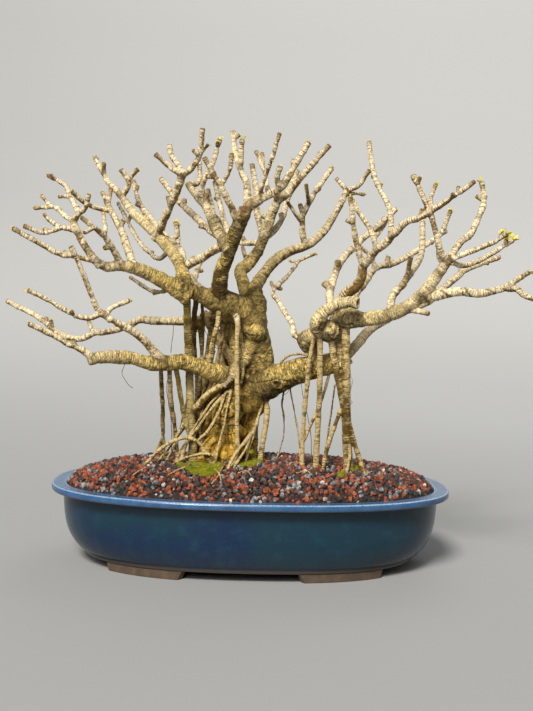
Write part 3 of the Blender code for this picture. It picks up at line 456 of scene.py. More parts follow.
massTable = {
    "twigs_left_tip": (
        limb((9, 7), (97, 262, -98), (90, 254, -103), (83, 243, -108), (78, 231, -112)),
        side(0, 0.15, (6, 5), (74, 256, -108), (60, 254, -114), (36, 241, -124), (12, 228, -134)),
        side(0, 1.0, (6, 4.5), (62, 228, -116), (44, 233, -126), (23, 226, -136)),
        side(2, 0.3, (5, 4), (50, 221, -112), (44, 214, -108)),
        side(0, 1.0, (6.5, 6), (75, 226, -112), (73, 221, -110)),
        side(4, 1.0, (5.5, 4.5), (66, 217, -106), (55, 208, -98), (34, 208, -90)),
        side(5, 0.6, (4.5, 4), (48, 203, -94), (42, 195, -92)),
        side(4, 1.0, (6, 5), (79, 214, -117), (85, 208, -122), (89, 194, -128)),
        side(7, 0.3, (5.5, 4.5), (76, 207, -112), (70, 197, -106), (64, 185, -100), (48, 175, -90)),
        side(8, 0.4, (4.5, 4), (58, 197, -110)),
    ),
    "twigs_left_mid": (
        limb((9, 6.5), (133, 266, -72), (128, 250, -60), (122, 232, -50), (114, 216, -42), (106, 201, -34)),
        side(0, 1.0, (5, 4.5), (102, 192, -30)),
        side(0, 0.95, (5, 4.5), (111, 188, -38)),
        side(0, 0.85, (5.5, 5), (100, 209, -44), (84, 202, -56), (71, 191, -64)),
    ),
    "twigs_left_front": (
        limb((7.5, 6), (121, 265, -82), (112, 247, -98), (103, 235, -112), (94, 228, -124)),
        side(0, 1.0, (5, 4.5), (81, 217, -134)),
        side(0, 1.0, (5, 4.5), (84, 233, -138)),
        side(0, 0.7, (4.5, 4), (105, 228, -108), (103, 212, -100)),
    ),
    "twigs_left_under": (
        limb((5.5, 3.5), (172, 287, -50), (160, 292, -40), (148, 289, -30), (130, 277, -14)),
    ),
    "twigs_crown_left": (
        limb((7.5, 7), (123, 199, 40), (119, 193, 45)),
        side(0, 1.0, (6, 5), (114, 188, 50), (107, 180, 58), (95, 158, 70)),
        side(1, 0.6, (5, 4.5), (104, 163, 52)),
        side(0, 0.6, (6, 5), (127, 189, 40), (128, 181, 36), (121, 169, 32)),
        side(3, 0.6, (5, 4.5), (138, 169, 28)),
    ),
    "twigs_crown_back": (
        limb((7, 5), (183, 264, -34), (181, 251, -2), (172, 242, 14), (160, 230, 36), (148, 215, 56),
             (140, 203, 68), (133, 181, 84)),
        side(0, 0.38, (5, 5), (177, 236, 12), (176, 222, 18)),
        side(0, 0.3, (5, 4), (160, 259, 24), (146, 249, 38), (137, 238, 50), (128, 222, 66), (118, 203, 84)),
    ),
    "twigs_crown_fork": (
        limb((8.5, 8), (156, 238, -2), (164, 220, -24), (172, 203, -42), (178, 189, -54), (183, 175, -62)),
        side(0, 1.0, (6, 5), (170, 167, -68), (155, 154, -74)),
        side(0, 1.0, (6, 5), (177, 163, -58), (172, 157, -54), (169, 145, -50)),
        side(0, 1.0, (6.5, 5.5), (190, 170, -68), (196, 162, -72), (200, 154, -76), (203, 128, -84)),
        side(3, 0.5, (5, 4), (193, 150, -82)),
        side(3, 0.45, (4.5, 4), (201, 153, -68), (208, 144, -64)),
    ),
    "twigs_crown_centre": (
        limb((14, 11), (230, 249, -63), (222, 238, -58), (214, 222, -50)),
        side(0, 0.35, (8, 5.5), (205, 226, -30), (190, 212, -6), (178, 200, 12), (161, 179, 40)),
        side(0, 1.0, (10, 7), (206, 206, -40), (197, 196, -32), (187, 183, -24)),
        side(2, 1.0, (6, 5), (197, 184, -14), (200, 176, -10), (199, 161, -6)),
        side(2, 0.5, (6, 5), (203, 184, -36), (213, 162, -30), (220, 140, -24)),
        side(0, 0.6, (5.5, 4.5), (222, 214, -34), (218, 197, -24), (215, 181, -16)),
        side(0, 0.9, (5, 4.5), (213, 208, -26), (208, 189, -14)),
        side(0, 0.2, (9, 9), (214, 250, -52), (203, 257, -45), (186, 266, -38)),
    ),
    "twigs_front_left": (
        limb((8, 6.5), (239, 228, -75), (235, 216, -86), (227, 198, -96), (212, 171, -108)),
        side(0, 1.0, (6, 5), (204, 157, -114)),
        side(0, 0.75, (5, 4.5), (229, 172, -108), (232, 153, -112)),
    ),
    "twigs_front": (
        limb((12, 9), (246, 211, -85), (250, 205, -88), (255, 203, -90)),
        side(0, 0.5, (8, 5.5), (247, 184, -82), (241, 171, -78), (235, 150, -70), (233, 131, -66)),
        side(1, 0.5, (6, 5), (241, 158, -84), (242, 139, -90)),
        side(0, 1.0, (9, 8), (261, 199, -90), (268, 195, -92), (276, 191, -94), (283, 186, -96)),
        side(3, 0.9, (6.5, 5.5), (277, 178, -102), (280, 166, -108)),
        side(3, 1.0, (8, 5.5), (289, 176, -96), (301, 156, -98), (309, 142, -100)),
        side(5, 0.4, (5, 4.5), (293, 160, -88)),
        side(3, 0.2, (5, 4.5), (262, 186, -98), (271, 161, -110), (280, 133, -120)),
        side(3, 0.5, (5, 4.5), (264, 172, -80), (256, 151, -72)),
        side(8, 0.5, (4.5, 4), (262, 153, -68)),
    ),
    "twigs_back_leader": (
        limb((11, 9), (263, 239, 61), (268, 224, 56), (277, 202, 48), (283, 196, 46)),
        side(0, 1.0, (8, 5.5), (290, 191, 42), (301, 177, 36), (312, 165, 30), (330, 145, 20)),
        side(0, 0.1, (7, 5), (260, 224, 68), (256, 208, 72), (257, 195, 76), (252, 164, 86)),
        side(0, 0.1, (7, 5), (273, 232, 68), (282, 219, 78), (286, 204, 88), (297, 170, 104)),
    ),
    "twigs_back": (
        limb((9.5, 7), (258, 252, 62), (261, 245, 92), (265, 232, 122), (269, 218, 146)),
        side(0, 1.0, (6, 5), (276, 204, 158), (288, 192, 168), (303, 174, 178)),
        side(0, 1.0, (6, 5), (258, 212, 160), (256, 196, 168), (254, 176, 178)),
        side(0, 0.4, (6, 5), (240, 243, 128), (228, 232, 146), (218, 194, 164)),
    ),
    "twigs_back_left": (
        limb((12, 7.5), (252, 309, 4), (236, 303, 46), (214, 298, 78), (198, 288, 100), (184, 272, 120),
             (160, 238, 148)),
        side(0, 1.0, (6, 5), (150, 226, 156), (141, 206, 168)),
        side(0, 1.0, (5.5, 4.5), (165, 222, 140), (171, 204, 134)),
        side(0, 0.8, (5.5, 5), (178, 246, 158), (177, 224, 168)),
        side(0, 0.6, (6, 5), (200, 262, 140), (216, 247, 156)),
    ),
    "twigs_right_centre": (
        limb((6.5, 6), (344, 197, 112), (347, 190, 116)),
        side(0, 1.0, (5, 4.5), (336, 178, 122)),
        side(0, 1.0, (5, 4.5), (358, 186, 108), (370, 170, 96)),
        side(0, 0.5, (4.5, 4), (355, 193, 122), (364, 195, 128)),
    ),
    "twigs_right_low": (
        limb((7, 6), (306, 247, 78), (303, 234, 74), (302, 213, 68)),
        side(0, 0.7, (4.5, 4), (296, 215, 62), (287, 202, 54)),
        side(0, 1.0, (5, 4.5), (300, 204, 62)),
        side(0, 0.95, (6, 5), (313, 196, 80), (320, 185, 88), (332, 168, 98)),
        side(3, 0.25, (4.5, 4), (308, 200, 66), (306, 184, 58)),
    ),
    "twigs_right_back": (
        limb((9, 5.5), (335, 317, -36), (330, 299, -14), (333, 280, 8), (342, 260, 32), (358, 243, 54),
             (374, 229, 74), (396, 209, 96)),
        side(0, 0.8, (5, 4.5), (380, 230, 88), (389, 216, 98)),
    ),
    "twigs_right_high": (
        limb((9, 5), (363, 267, -68), (374, 253, -84), (386, 243, -98), (405, 223, -120), (421, 217, -132),
             (448, 200, -152), (475, 181, -170)),
        side(0, 0.04, (6.5, 5), (357, 246, -76), (354, 230, -82), (350, 197, -90)),
        side(0, 0.2, (6, 5), (371, 231, -76), (359, 213, -68), (353, 200, -64)),
        side(0, 0.34, (6, 5), (391, 216, -106), (387, 202, -102), (375, 178, -94), (369, 141, -84)),
        side(0, 0.68, (4.5, 4), (431, 198, -136), (436, 184, -132)),
    ),
    "twigs_right_inner": (
        limb((8, 5), (338, 313, -38), (352, 299, -26), (364, 284, -8), (376, 268, 8), (392, 264, 24),
             (412, 254, 40), (428, 243, 52), (446, 231, 66)),
        side(0, 0.42, (4.5, 3.5), (371, 257, 2), (359, 245, -8)),
        side(0, 0.96, (5, 4.5), (446, 222, 60), (451, 210, 54)),
    ),
    "twigs_right_mid": (
        limb((9, 5), (390, 313, -86), (393, 296, -78), (402, 285, -68), (412, 271, -58), (421, 255, -48),
             (423, 222, -34)),
        side(0, 0.4, (5.5, 5), (411, 257, -80)),
    ),
    "twigs_right_fork": (
        limb((10.5, 10), (444, 266, -122), (448, 260, -124)),
        side(0, 1.0, (6.5, 5.5), (440, 250, -130), (430, 212, -136), (413, 175, -128)),
        side(0, 1.0, (6, 5), (462, 255, -130), (490, 244, -142), (508, 234, -150)),
        side(0, 1.0, (6, 5), (462, 266, -112), (478, 261, -100), (495, 252, -90), (513, 240, -80)),
        side(0, 1.0, (8, 5.5), (460, 243, -106), (472, 232, -96), (484, 203, -78), (481, 182, -66)),
        side(0, 0.5, (4.5, 4), (439, 258, -112), (437, 245, -106)),
    ),
    "twigs_right_end": (
        limb((7.5, 5.5), (503, 289, -142), (516, 289, -148), (522, 294, -152), (531, 298, -156),
             (546, 299, -162)),
        side(0, 0.1, (6, 5), (515, 281, -150), (529, 272, -156)),
    ),
    "twigs_right_back_end": (limb((7, 5), (464, 270, 124), (480, 264, 134), (500, 257, 146)),),
    "twigs_left_low": (
        limb((8, 5), (92, 358, -84), (84, 351, -90), (68, 344, -98), (58, 338, -104), (28, 324, -118)),
    ),
    "twigs_left_rise": (
        limb((7.5, 7), (107, 317, -90), (102, 313, -92)),
        side(0, 1.0, (6.5, 5), (97, 308, -94), (84, 275, -106), (71, 246, -116)),
        side(0, 1.0, (6, 4.5), (90, 318, -98), (75, 315, -104), (50, 301, -116), (28, 290, -126)),
        side(0, 0.6, (5.5, 5), (112, 308, -84), (130, 300, -76)),
    ),
    "twigs_left_back": (
        limb((6.5, 5), (95, 333, 68), (78, 339, 78), (58, 333, 90), (38, 317, 102), (7, 301, 118)),
        side(0, 0.06, (4.5, 4), (88, 320, 76)),
    ),
    "twigs_deadwood": (
        limb((6, 3.5), (303, 338, -31), (294, 335, -30), (292, 324, -26), (279, 303, -12), (273, 292, -6),
             (288, 276, 8), (300, 261, 16), (315, 254, 22)),
        side(0, 0.85, (3.5, 3), (290, 261, 22)),
    ),
}


def smoothRoute(points, step):
    # a smooth line through the points, with a vertex at about every step
    ends = [2 * points[0] - points[1], *points, 2 * points[-1] - points[-2]]
    curve = [points[0]]
    for before, start, end, after in zip(ends, ends[1:], ends[2:], ends[3:]):
        pieces = max(1, round(np.linalg.norm(end - start) / step))
        for t in np.arange(1, pieces + 1) / pieces:
            curve.append(0.5 * (
                2 * start + (end - before) * t
                + (2 * before - 5 * start + 4 * end - after) * t ** 2
                + (3 * start - before - 3 * end + after) * t ** 3))
    return np.array(curve)


class Limb:
    # one limb's finely stepped route, radii, and the frame that runs along it

    def __init__(self, kind, girths, points, **traits):
        self.kind = kind
        self.traits = traits
        self.points = smoothRoute(points, wood["twigStep"] if kind == "twig" else wood["step"])
        runs = np.linalg.norm(np.diff(self.points, axis=0), axis=1)
        self.run = np.concatenate([[0.0], np.cumsum(runs)])
        self.length = self.run[-1]
        girth = np.interp(self.run / self.length, np.linspace(0, 1, len(girths)), girths)
        away = 1 + (self.points[:, 1] - potMiddle[1]) / elevation["eyeDistance"]
        self.radii = girth / 2 * elevation["square"] * away * wood["slimmer"][kind]
        self.roughen()
        self.shape()
        self.alongs = np.gradient(self.points, axis=0)
        self.alongs /= np.linalg.norm(self.alongs, axis=1)[:, None]
        self.across = np.zeros_like(self.points)
        last = np.array([0.0, 1.0, 0.0])
        if abs(self.alongs[0] @ last) > 0.95:
            last = np.array([1.0, 0.0, 0.0])
        for index, along in enumerate(self.alongs):
            last = last - along * (last @ along)
            last = last / np.linalg.norm(last)
            self.across[index] = last
        self.other = np.cross(self.alongs, self.across)

    def roughen(self):
        # small bends and uneven thickness, fading out at the foot
        own = np.full_like(self.run, self.points[0] @ np.array([3.0, 5.0, 7.0]))
        line = np.stack([self.run, own, np.zeros_like(self.run)], axis=1)
        uneven = wood["uneven"][self.kind] * self.traits.get("uneven", 1.0)
        self.radii = self.radii * (1 + uneven * (softNoise(line, 8 * mm, 21) + softNoise(line, 22 * mm, 22)))
        fade = smoothStep(self.run, 0, 25 * mm) * wood["wobble"][self.kind]
        for axis in range(3):
            self.points[:, axis] += fade * softNoise(line, 26 * mm, 23 + axis)

    def shape(self):
        # collar at the foot, swelling at a twig's tip or a root's end
        left = self.length - self.run
        collar = self.traits.get("collar", wood["collar"])
        self.radii = self.radii * (1 + collar * np.exp(-self.run / (0.9 * self.radii[0])))
        if self.kind == "twig":
            self.radii = self.radii * (1 + wood["tipSwell"] * bell(left - 2 * mm, 2.6 * mm))
        if self.kind == "root" and self.traits.get("grounded", True):
            widening, reach = wood["foot"]
            self.radii = self.radii * (1 + widening * np.exp(-left / reach))

    def at(self, share):
        place = share * self.length
        return np.array([np.interp(place, self.run, self.points[:, axis]) for axis in range(3)])

    def tube(self):
        sides = wood["twigSides"] if self.kind == "twig" else wood["sides"]
        angles = np.arange(sides) * math.tau / sides
        around = (self.across[:, None] * np.cos(angles)[None, :, None]
                  + self.other[:, None] * np.sin(angles)[None, :, None])
        return ringSkin(self.points[:, None] + around * self.radii[:, None, None])


def limbCoordinates(points, limbs):
    # for each point of the skin: its limb, how far along and around it lies, and how near a fork
    count = len(points)
    found = {
        "gap": np.full(count, 1.0), "next": np.full(count, 1.0), "limb": np.zeros(count, dtype=int),
        "run": np.zeros(count), "turn": np.zeros(count), "radius": np.full(count, mm),
        "left": np.zeros(count),
    }
    mostPairs = 1500000  # of points and steps held at a time
    for number, item in enumerate(limbs):
        reach = item.radii.max() + 8 * mm
        low, high = item.points.min(axis=0) - reach, item.points.max(axis=0) + reach
        near = np.flatnonzero(((points > low) & (points < high)).all(axis=1))
        start = item.points[:-1]
        ahead = item.points[1:] - start
        square = (ahead * ahead).sum(axis=1)
        for part in np.array_split(near, max(1, len(near) * len(start) // mostPairs + 1)):
            if len(part) == 0:
                continue
            rel = points[part][:, None] - start[None]
            t = np.clip((rel * ahead).sum(axis=2) / square, 0, 1)
            off = rel - t[..., None] * ahead
            radius = item.radii[:-1] + t * (item.radii[1:] - item.radii[:-1])
            gap = np.linalg.norm(off, axis=2) - radius
            best = gap.argmin(axis=1)
            rows = np.arange(len(part))
            gap, off, t, radius = gap[rows, best], off[rows, best], t[rows, best], radius[rows, best]
            closer = gap < found["gap"][part]
            found["next"][part] = np.where(closer, found["gap"][part], np.minimum(found["next"][part], gap))
            run = item.run[best] + t * (item.run[best + 1] - item.run[best])
            turn = np.arctan2((off * item.other[best]).sum(axis=1), (off * item.across[best]).sum(axis=1))
            own = {"gap": gap, "limb": np.full(len(part), number), "run": run, "left": item.length - run,
                   "radius": radius, "turn": turn}
            for key, values in own.items():
                found[key][part[closer]] = values[closer]
    return found


class Skin:
    # a closed quad mesh that is smoothed and given relief, with numbers for its material

    def __init__(self, mesh, limbs):
        self.mesh = mesh
        self.limbs = limbs
        self.points, corners = meshArrays(mesh)
        self.faces = corners.reshape(-1, 4)
        edges = np.concatenate([self.faces[:, [corner, (corner + 1) % 4]] for corner in range(4)])
        self.edges = np.unique(np.sort(edges, axis=1), axis=0)
        self.at = limbCoordinates(self.points, limbs)
        self.traits = {}

    def neighbourMean(self, values):
        # the mean of each point's neighbours
        first, second = self.edges.T
        count = len(self.points)
        total = np.zeros((count, values.shape[1]))
        for axis in range(values.shape[1]):
            total[:, axis] += np.bincount(first, values[second, axis], count)
            total[:, axis] += np.bincount(second, values[first, axis], count)
        links = np.bincount(first, minlength=count) + np.bincount(second, minlength=count)
        return total / np.maximum(links, 1)[:, None]

    def smooth(self, rounds, weight):
        for _ in range(rounds):
            self.points += (self.neighbourMean(self.points) - self.points) * weight[:, None]

    def fillForks(self):
        radius = np.maximum(self.at["radius"], 2 * mm)
        self.fork = bell(np.maximum(self.at["next"], 0), 0.42 * radius)
        self.smooth(wood["fillet"], 0.5 * self.fork)
        self.smooth(2, np.full(len(self.points), 0.25))

    def normals(self):
        a, b, c, d = (self.points[self.faces[:, corner]] for corner in range(4))
        cross = np.cross(c - a, d - b)
        total = np.zeros_like(self.points)
        for corner in range(4):
            for axis in range(3):
                total[:, axis] += np.bincount(self.faces[:, corner], cross[:, axis], len(self.points))
        return total / np.maximum(np.linalg.norm(total, axis=1), 1e-12)[:, None]

    def trait(self, name, standard=0.0):
        # a limb's trait, spread over the points of that limb
        values = np.array([item.traits.get(name, standard) for item in self.limbs], dtype=float)
        return values[self.at["limb"]]

    # painted shade in grooves and hollows, laid on with the darkest bark colour
    def paintShade(self, share):
        self.traits["crease"] = np.clip(self.traits["crease"] + share, 0, 1)

    def finish(self, material):
        self.mesh.vertices.foreach_set("co", self.points.ravel())
        for name, values in self.traits.items():
            addAttribute(self.mesh, name, values)
        self.mesh.materials.append(material)
        self.mesh.update()
        self.mesh.shade_smooth()
        return linked(self.mesh.name, self.mesh)


bark = {
    "swell": (1.9 * mm, 30 * mm),  # height and size of the broad swellings on thick wood
    "lumps": (1.5 * mm, 13 * mm),  # rounded lumps with creases between them
    "bumps": (0.55 * mm, 6 * mm),
    "twigBumps": (0.55 * mm, 7 * mm),
    "wrinkle": (0.34 * mm, 3.7 * mm, 0.7 * mm),  # depth, spacing and width of the wrinkles round old wood
    "folds": (0.95 * mm, 11 * mm, 3.2 * mm),  # height of the folds across the limb, their length and spacing
    "fineFolds": (4.5 * mm, 1.5 * mm),
    "ring": (0.22 * mm, 7.5 * mm, 1.0 * mm),  # height, spacing and width of a twig's leaf-scar rings
    "scar": 0.75 * mm,  # how far a leaf scar stands out
    "wire": (0.9 * mm, 27 * mm, 2.0 * mm),  # depth, pitch and width of the spiral that a training wire left
    "grain": (0.16 * mm, 2.2 * mm),
    "thick": (4.5 * mm, 10 * mm),  # radii between which twig bark turns to old bark
    "goldenTurn": 2.4,  # from one leaf scar to the next
    "ochreLine": (165 * mm, 250 * mm),  # heights between which the ochre of the trunk's foot fades
    "paintedLightLine": (200 * mm, 270 * mm),  # heights between which thick wood takes painted light; above them it is paler
}


def ringsAlong(run, warp, spacing, width):
    # a ridge of about that width at every spacing, and the number of each ring
    phase = (run + warp) / spacing
    number = np.floor(phase)
    return bell((phase - number - 0.5) * spacing, width), number


def foldNoise(points, run, length, spacing, seed):
    # noise drawn out round the limb
    across = run[:, None] / spacing * np.array([0.6, 0.5, 0.6])
    return softNoise(points / length + across, 1.0, seed)


def addBark(skin):
    at, points = skin.at, skin.points
    radius, run, turn = at["radius"], at["run"], at["turn"]
    thick = smoothStep(radius, *bark["thick"])
    isRoot = skin.trait("root")
    gnarl = thick * (1 - 0.5 * isRoot) * skin.trait("gnarl", 0.8)
    seeds = np.array([31.0 * number % 17 for number in range(len(skin.limbs))])[at["limb"]] * mm

    lump = np.abs(softNoise(points + 0.25 * seeds[:, None], bark["lumps"][1], 2))
    lump = np.sqrt(lump + 0.02) - 0.5
    twigBump = softNoise(points, bark["twigBumps"][1], 3)
    height = gnarl * (bark["swell"][0] * softNoise(points, bark["swell"][1], 1) + bark["lumps"][0] * lump)
    height += gnarl * bark["bumps"][0] * softNoise(points, bark["bumps"][1], 9)
    height += (1 - thick) * bark["twigBumps"][0] * twigBump

    # wrinkles in patches, and folds, across the old wood
    patches = smoothStep(softNoise(points, 17 * mm, 4), -0.1, 0.6)
    patches = patches * (0.5 + 0.5 * softNoise(points, 6 * mm, 8))
    warp = 2.4 * mm * softNoise(points, 13 * mm, 5) + seeds + skin.trait("twist") * turn * mm
    groove, _ = ringsAlong(run, warp, *bark["wrinkle"][1:])
    groove = np.clip(groove * patches, 0, 1) * thick * (1 - 0.6 * isRoot)
    height -= bark["wrinkle"][0] * groove
    fold = np.abs(foldNoise(points, run, *bark["folds"][1:], 13)) - 0.3
    fine = foldNoise(points, run, *bark["fineFolds"], 14)
    height += bark["folds"][0] * (0.75 * fold + 0.35 * fine) * thick * (1 - 0.5 * isRoot)

    # rings and leaf scars on the young wood
    young = (1 - thick) * (1 - 0.7 * isRoot)
    warp = 2.6 * mm * softNoise(points, 19 * mm, 6) + 1.1 * mm * softNoise(points, 6 * mm, 10) + seeds
    ring, number = ringsAlong(run, warp, *bark["ring"][1:])
    ring = ring * smoothStep(softNoise(points, 12 * mm, 11), -0.6, 0.5)
    height += bark["ring"][0] * ring * (0.3 + 0.7 * young)
    apart = np.abs((turn - number * bark["goldenTurn"] + math.pi) % math.tau - math.pi)
    scar = ring * bell(apart, 0.6) * young
    height += bark["scar"] * scar

    depth, pitch, width = bark["wire"]
    spiral = (run / pitch - turn / math.tau) % 1 - 0.5
    bite = skin.trait("wire") * bell(spiral * pitch, width)
    height -= depth * bite

    height += bark["grain"][0] * softNoise(points, bark["grain"][1], 7) * (0.6 + 0.6 * thick)
    cut = skin.trait("cut")
    tip = smoothStep(-at["left"], -2.6 * mm, -0.9 * mm) * cut
    skin.points = points + skin.normals() * (height * (1 - 0.6 * tip))[:, None]

    # how far the skin faces up, for the painted highlight on upper sides and the painted shade beneath
    sky = skin.normals()[:, 2] + 0.3 * softNoise(points, 9 * mm, 12)
    lowOchre, highOchre = bark["ochreLine"]
    skin.traits.update({
        "thick": thick,
        # painted shade in the forks and in the wire's spiral groove
        "crease": np.clip(0.7 * skin.fork * smoothStep(radius, 2.2 * mm, 8 * mm) + bite, 0, 1),
        "wrinkle": groove,
        "ring": np.clip(ring * (1 - 0.5 * thick) * (1 - isRoot), 0, 1),
        "scar": scar,
        "sky": smoothStep(sky, -0.75, 0.75),
        "along": run,
        "tip": tip,
        "brown": smoothStep(-at["left"], -13 * mm, -3 * mm) * cut * skin.trait("brownTip", 0.6),
        # raised lumps take more painted highlight, the hollows between them more painted shade
        "raised": np.clip(lump * gnarl * 1.6 + twigBump * 0.7 * (1 - thick), -1, 1),
        "ochre": skin.trait("ochre") * smoothStep(-points[:, 2], -highOchre, -lowOchre),
        "green": skin.trait("green"),
        # painted light: each limb's light trait, and more on thick wood up high
        "light": skin.trait("light") + 1.3 * thick * smoothStep(points[:, 2], *bark["paintedLightLine"]),
        # painted shade: each limb's dark trait, fading along the limb
        "dark": skin.trait("dark") * (1 - 0.6 * smoothStep(run, 30 * mm, 140 * mm)),
    })


def frontPoint(points, place, reach=1.6):
    # the nearest point to the eye among those that show near the place
    column, row = place
    columns, rows = seenAt(points)
    close = np.flatnonzero((columns - column) ** 2 + (rows - row) ** 2 < reach ** 2)
    return points[close[points[close, 1].argmin()]]


def offPlace(skin, place, size):
    # how far the skin's points are from the place, as shares of the size in squares
    return np.linalg.norm(skin.points - frontPoint(skin.points, place), axis=1) / size


def markEye(skin, place, size):
    # an old branch scar: a ring with a sunken middle, with painted shade in the hollow and round the ring
    size = size * elevation["square"]
    off = offPlace(skin, place, size) + 0.22 * softNoise(skin.points, 5 * mm, 31)
    ring, hollow, outer = bell(off - 0.75, 0.25), bell(off, 0.35), bell(off - 1.3, 0.14)
    skin.points += skin.normals() * ((ring * 0.14 - hollow * 0.2 - outer * 0.07) * size)[:, None]
    skin.paintShade(hollow + 0.35 * outer)


def markKnob(skin, place, size, rise):
    # a rounded swelling
    size = size * elevation["square"]
    skin.points += skin.normals() * (bell(offPlace(skin, place, size), 0.75) * rise * size)[:, None]


def markGroove(skin, places, width, depth):
    # a groove that follows places on the bark, with painted shade along it
    route = smoothRoute([frontPoint(skin.points, place, 2.5) for place in places], 0.8 * mm)
    low, high = route.min(axis=0) - 4 * width, route.max(axis=0) + 4 * width
    near = np.flatnonzero(((skin.points > low) & (skin.points < high)).all(axis=1))
    off = np.linalg.norm(skin.points[near][:, None] - route[None], axis=2).min(axis=1)
    line = np.zeros(len(skin.points))
    line[near] = bell(off, width)
    skin.points -= skin.normals() * (line * depth)[:, None]
    skin.paintShade(1.2 * line)


def markHole(skin, place, size, depth, rim=0.0):
    # a hollow, as at a sawn end, with painted shade in its middle
    off = offPlace(skin, place, size * elevation["square"])
    pit = smoothStep(-off, -1.0, -0.55)
    skin.points += skin.normals() * (bell(off - 1.15, 0.25) * rim - pit * depth)[:, None]
    skin.traits["tip"] = np.clip(skin.traits["tip"] + pit, 0, 1)
    skin.paintShade(0.8 * bell(off, 0.5))


def barkFinish(name, old, young):
    make = Finish(name)
    broad = make.noise(22.0, 3.0)
    blotch = make.noise(75.0, 5.0, 0.65)
    mottle = make.noise(260.0, 5.0, 0.75)
    grain = make.noise(900.0, 3.0, 0.7)
    speck = make.noise(430.0, 2.0, 0.5).step(0.58, 0.64)
    sky, crease, raised, thick, along, light, dark = (
        make.attribute(trait) for trait in ("sky", "crease", "raised", "thick", "along", "light", "dark"))
    look = {key: make.mix(thick, young[key], old[key])
            for key in ("main", "warm", "paleHighlight", "under", "deep", "shade")}

    # streaks across the limb, and fine rings that wander round it and fade in and out
    streak = make.noise(130.0, 5.0, 0.68, W=along * 4.5)
    crinkle = make.noise(62.0, 3.0, 0.6, W=along * 3.6)
    folds = crinkle.ridge(0.055, 0.012) * blotch.step(0.36, 0.5)
    rings = (along / (2.9 * mm) + blotch * 3.0 + mottle * 0.9).math("FRACT")
    rings = rings.ridge(0.20, 0.04) * broad.step(0.40, 0.58)
    nodes = (along / (6.8 * mm) + broad * 4.0 + blotch * 1.5).math("FRACT")
    nodes = nodes.ridge(0.11, 0.02) * blotch.step(0.40, 0.55)

    shadow = make.mix(streak.step(0.42, 0.58), look["deep"], look["shade"])
    # wear and painted highlight: the paler colour comes on upper sides, raised lumps, lit limbs and patches
    # of wear
    wornAndPaintedHighlight = sky * 0.5 + blotch * 0.8 + raised * 0.25 + mottle * 0.6 + streak * 0.9 - rings * 0.15
    wornAndPaintedHighlight = wornAndPaintedHighlight + light * 0.22 - dark * 0.5
    # painted shade in hollows, on undersides and away from painted light, mixed with the bark's own dark
    # patches
    hollowShadeAndDirt = blotch * 0.6 + mottle * 0.8 + streak * 0.9 + raised * 0.3 + sky * 0.15 + light * 0.08
    golden = make.mix(blotch.step(0.42, 0.58), old["ochre"], old["gold"])
    colour = make.mix((broad * 0.5 + streak * 0.5).step(0.40, 0.60), look["main"], look["warm"])
    colour = make.layered(
        colour,
        # painted shade on the undersides
        ((sky + mottle * 0.6).step(0.95, 0.35), look["under"]),
        # painted shade on limbs with a dark trait
        (dark * 0.9, shadow),
        (wornAndPaintedHighlight.step(1.08, 1.30) * old["paleHighlightShare"], look["paleHighlight"]),
        # painted shade in hollows and on undersides
        (hollowShadeAndDirt.step(1.24, 0.98) * old["hollowShadeShare"], look["deep"]),
        (streak.step(0.47, 0.38) * (0.3 + thick * 0.4) * old["spots"], look["deep"]),
        (mottle.step(0.48, 0.38) * old["spots"] * 0.45, look["deep"]),
        # painted highlight on the upper sides
        (mottle.step(0.54, 0.64) * sky * 0.6, look["paleHighlight"]),
        (speck * old["spots"] * 0.45, old["speck"]),
        (make.attribute("ochre") * mottle.step(0.38, 0.5), golden),
        (make.attribute("green") * broad.step(0.25, 0.6), old["moss"]),
        (make.attribute("ring") * 0.35, look["deep"]),
        (nodes * (1.0 - thick) * 0.75, look["deep"]),
        (rings * (0.25 + thick * 0.3) * old["ringShare"], look["deep"]),
        (folds * (0.15 + thick * 0.45) * old["ringShare"], look["deep"]),
        (make.attribute("scar") * 0.8, old["scar"]),
        (make.attribute("wrinkle") * 0.4, look["deep"]),
        # painted shade in forks, grooves and hollows
        (crease * 0.85, old["crease"]),
        (make.attribute("brown") * 0.8, old["tip"]),
        (make.attribute("tip") * 0.9, old["cut"]),
    )
    height = mottle * 0.9 + grain * 0.35 + blotch * 0.5 + streak * (0.8 + thick)
    height = height - rings * 0.35 - nodes * 0.3 - folds * thick * 0.7
    return make.done(Base_Color=colour, Roughness=0.55 + grain * 0.25 + crease * 0.15,
                     Specular_IOR_Level=old["gloss"], Normal=make.bump(height, 2.2 * mm))


# bark colours: the palest is the painted highlight of lit upper sides, under and shade are painted shade, the
# darkest is painted shade in forks and grooves, and deep is both painted shade in hollows and the bark's own
# dark spots and rings
twigLook = {
    "main": (0.52, 0.37, 0.155), "warm": (0.37, 0.243, 0.070), "paleHighlight": (0.86, 0.725, 0.475),
    "under": (0.24, 0.145, 0.026), "deep": (0.125, 0.070, 0.012), "shade": (0.23, 0.135, 0.028),
    "speck": (0.085, 0.046, 0.010), "moss": (0.16, 0.135, 0.004), "ochre": (0.46, 0.235, 0.008),
    "gold": (0.88, 0.56, 0.075), "scar": (0.28, 0.16, 0.05), "crease": (0.034, 0.019, 0.003),
    "tip": (0.24, 0.145, 0.04), "cut": (0.14, 0.075, 0.028), "paleHighlightShare": 0.95, "hollowShadeShare": 0.9,
    "ringShare": 1.0, "gloss": 0.25, "spots": 0.8,
}
boughLook = {
    **twigLook, "main": (0.385, 0.248, 0.046), "warm": (0.265, 0.163, 0.020), "paleHighlight": (0.94, 0.74, 0.35),
    "under": (0.150, 0.086, 0.007), "deep": (0.076, 0.042, 0.004), "crease": (0.030, 0.017, 0.002),
    "shade": (0.165, 0.092, 0.009), "ringShare": 0.8, "spots": 1.0,
}
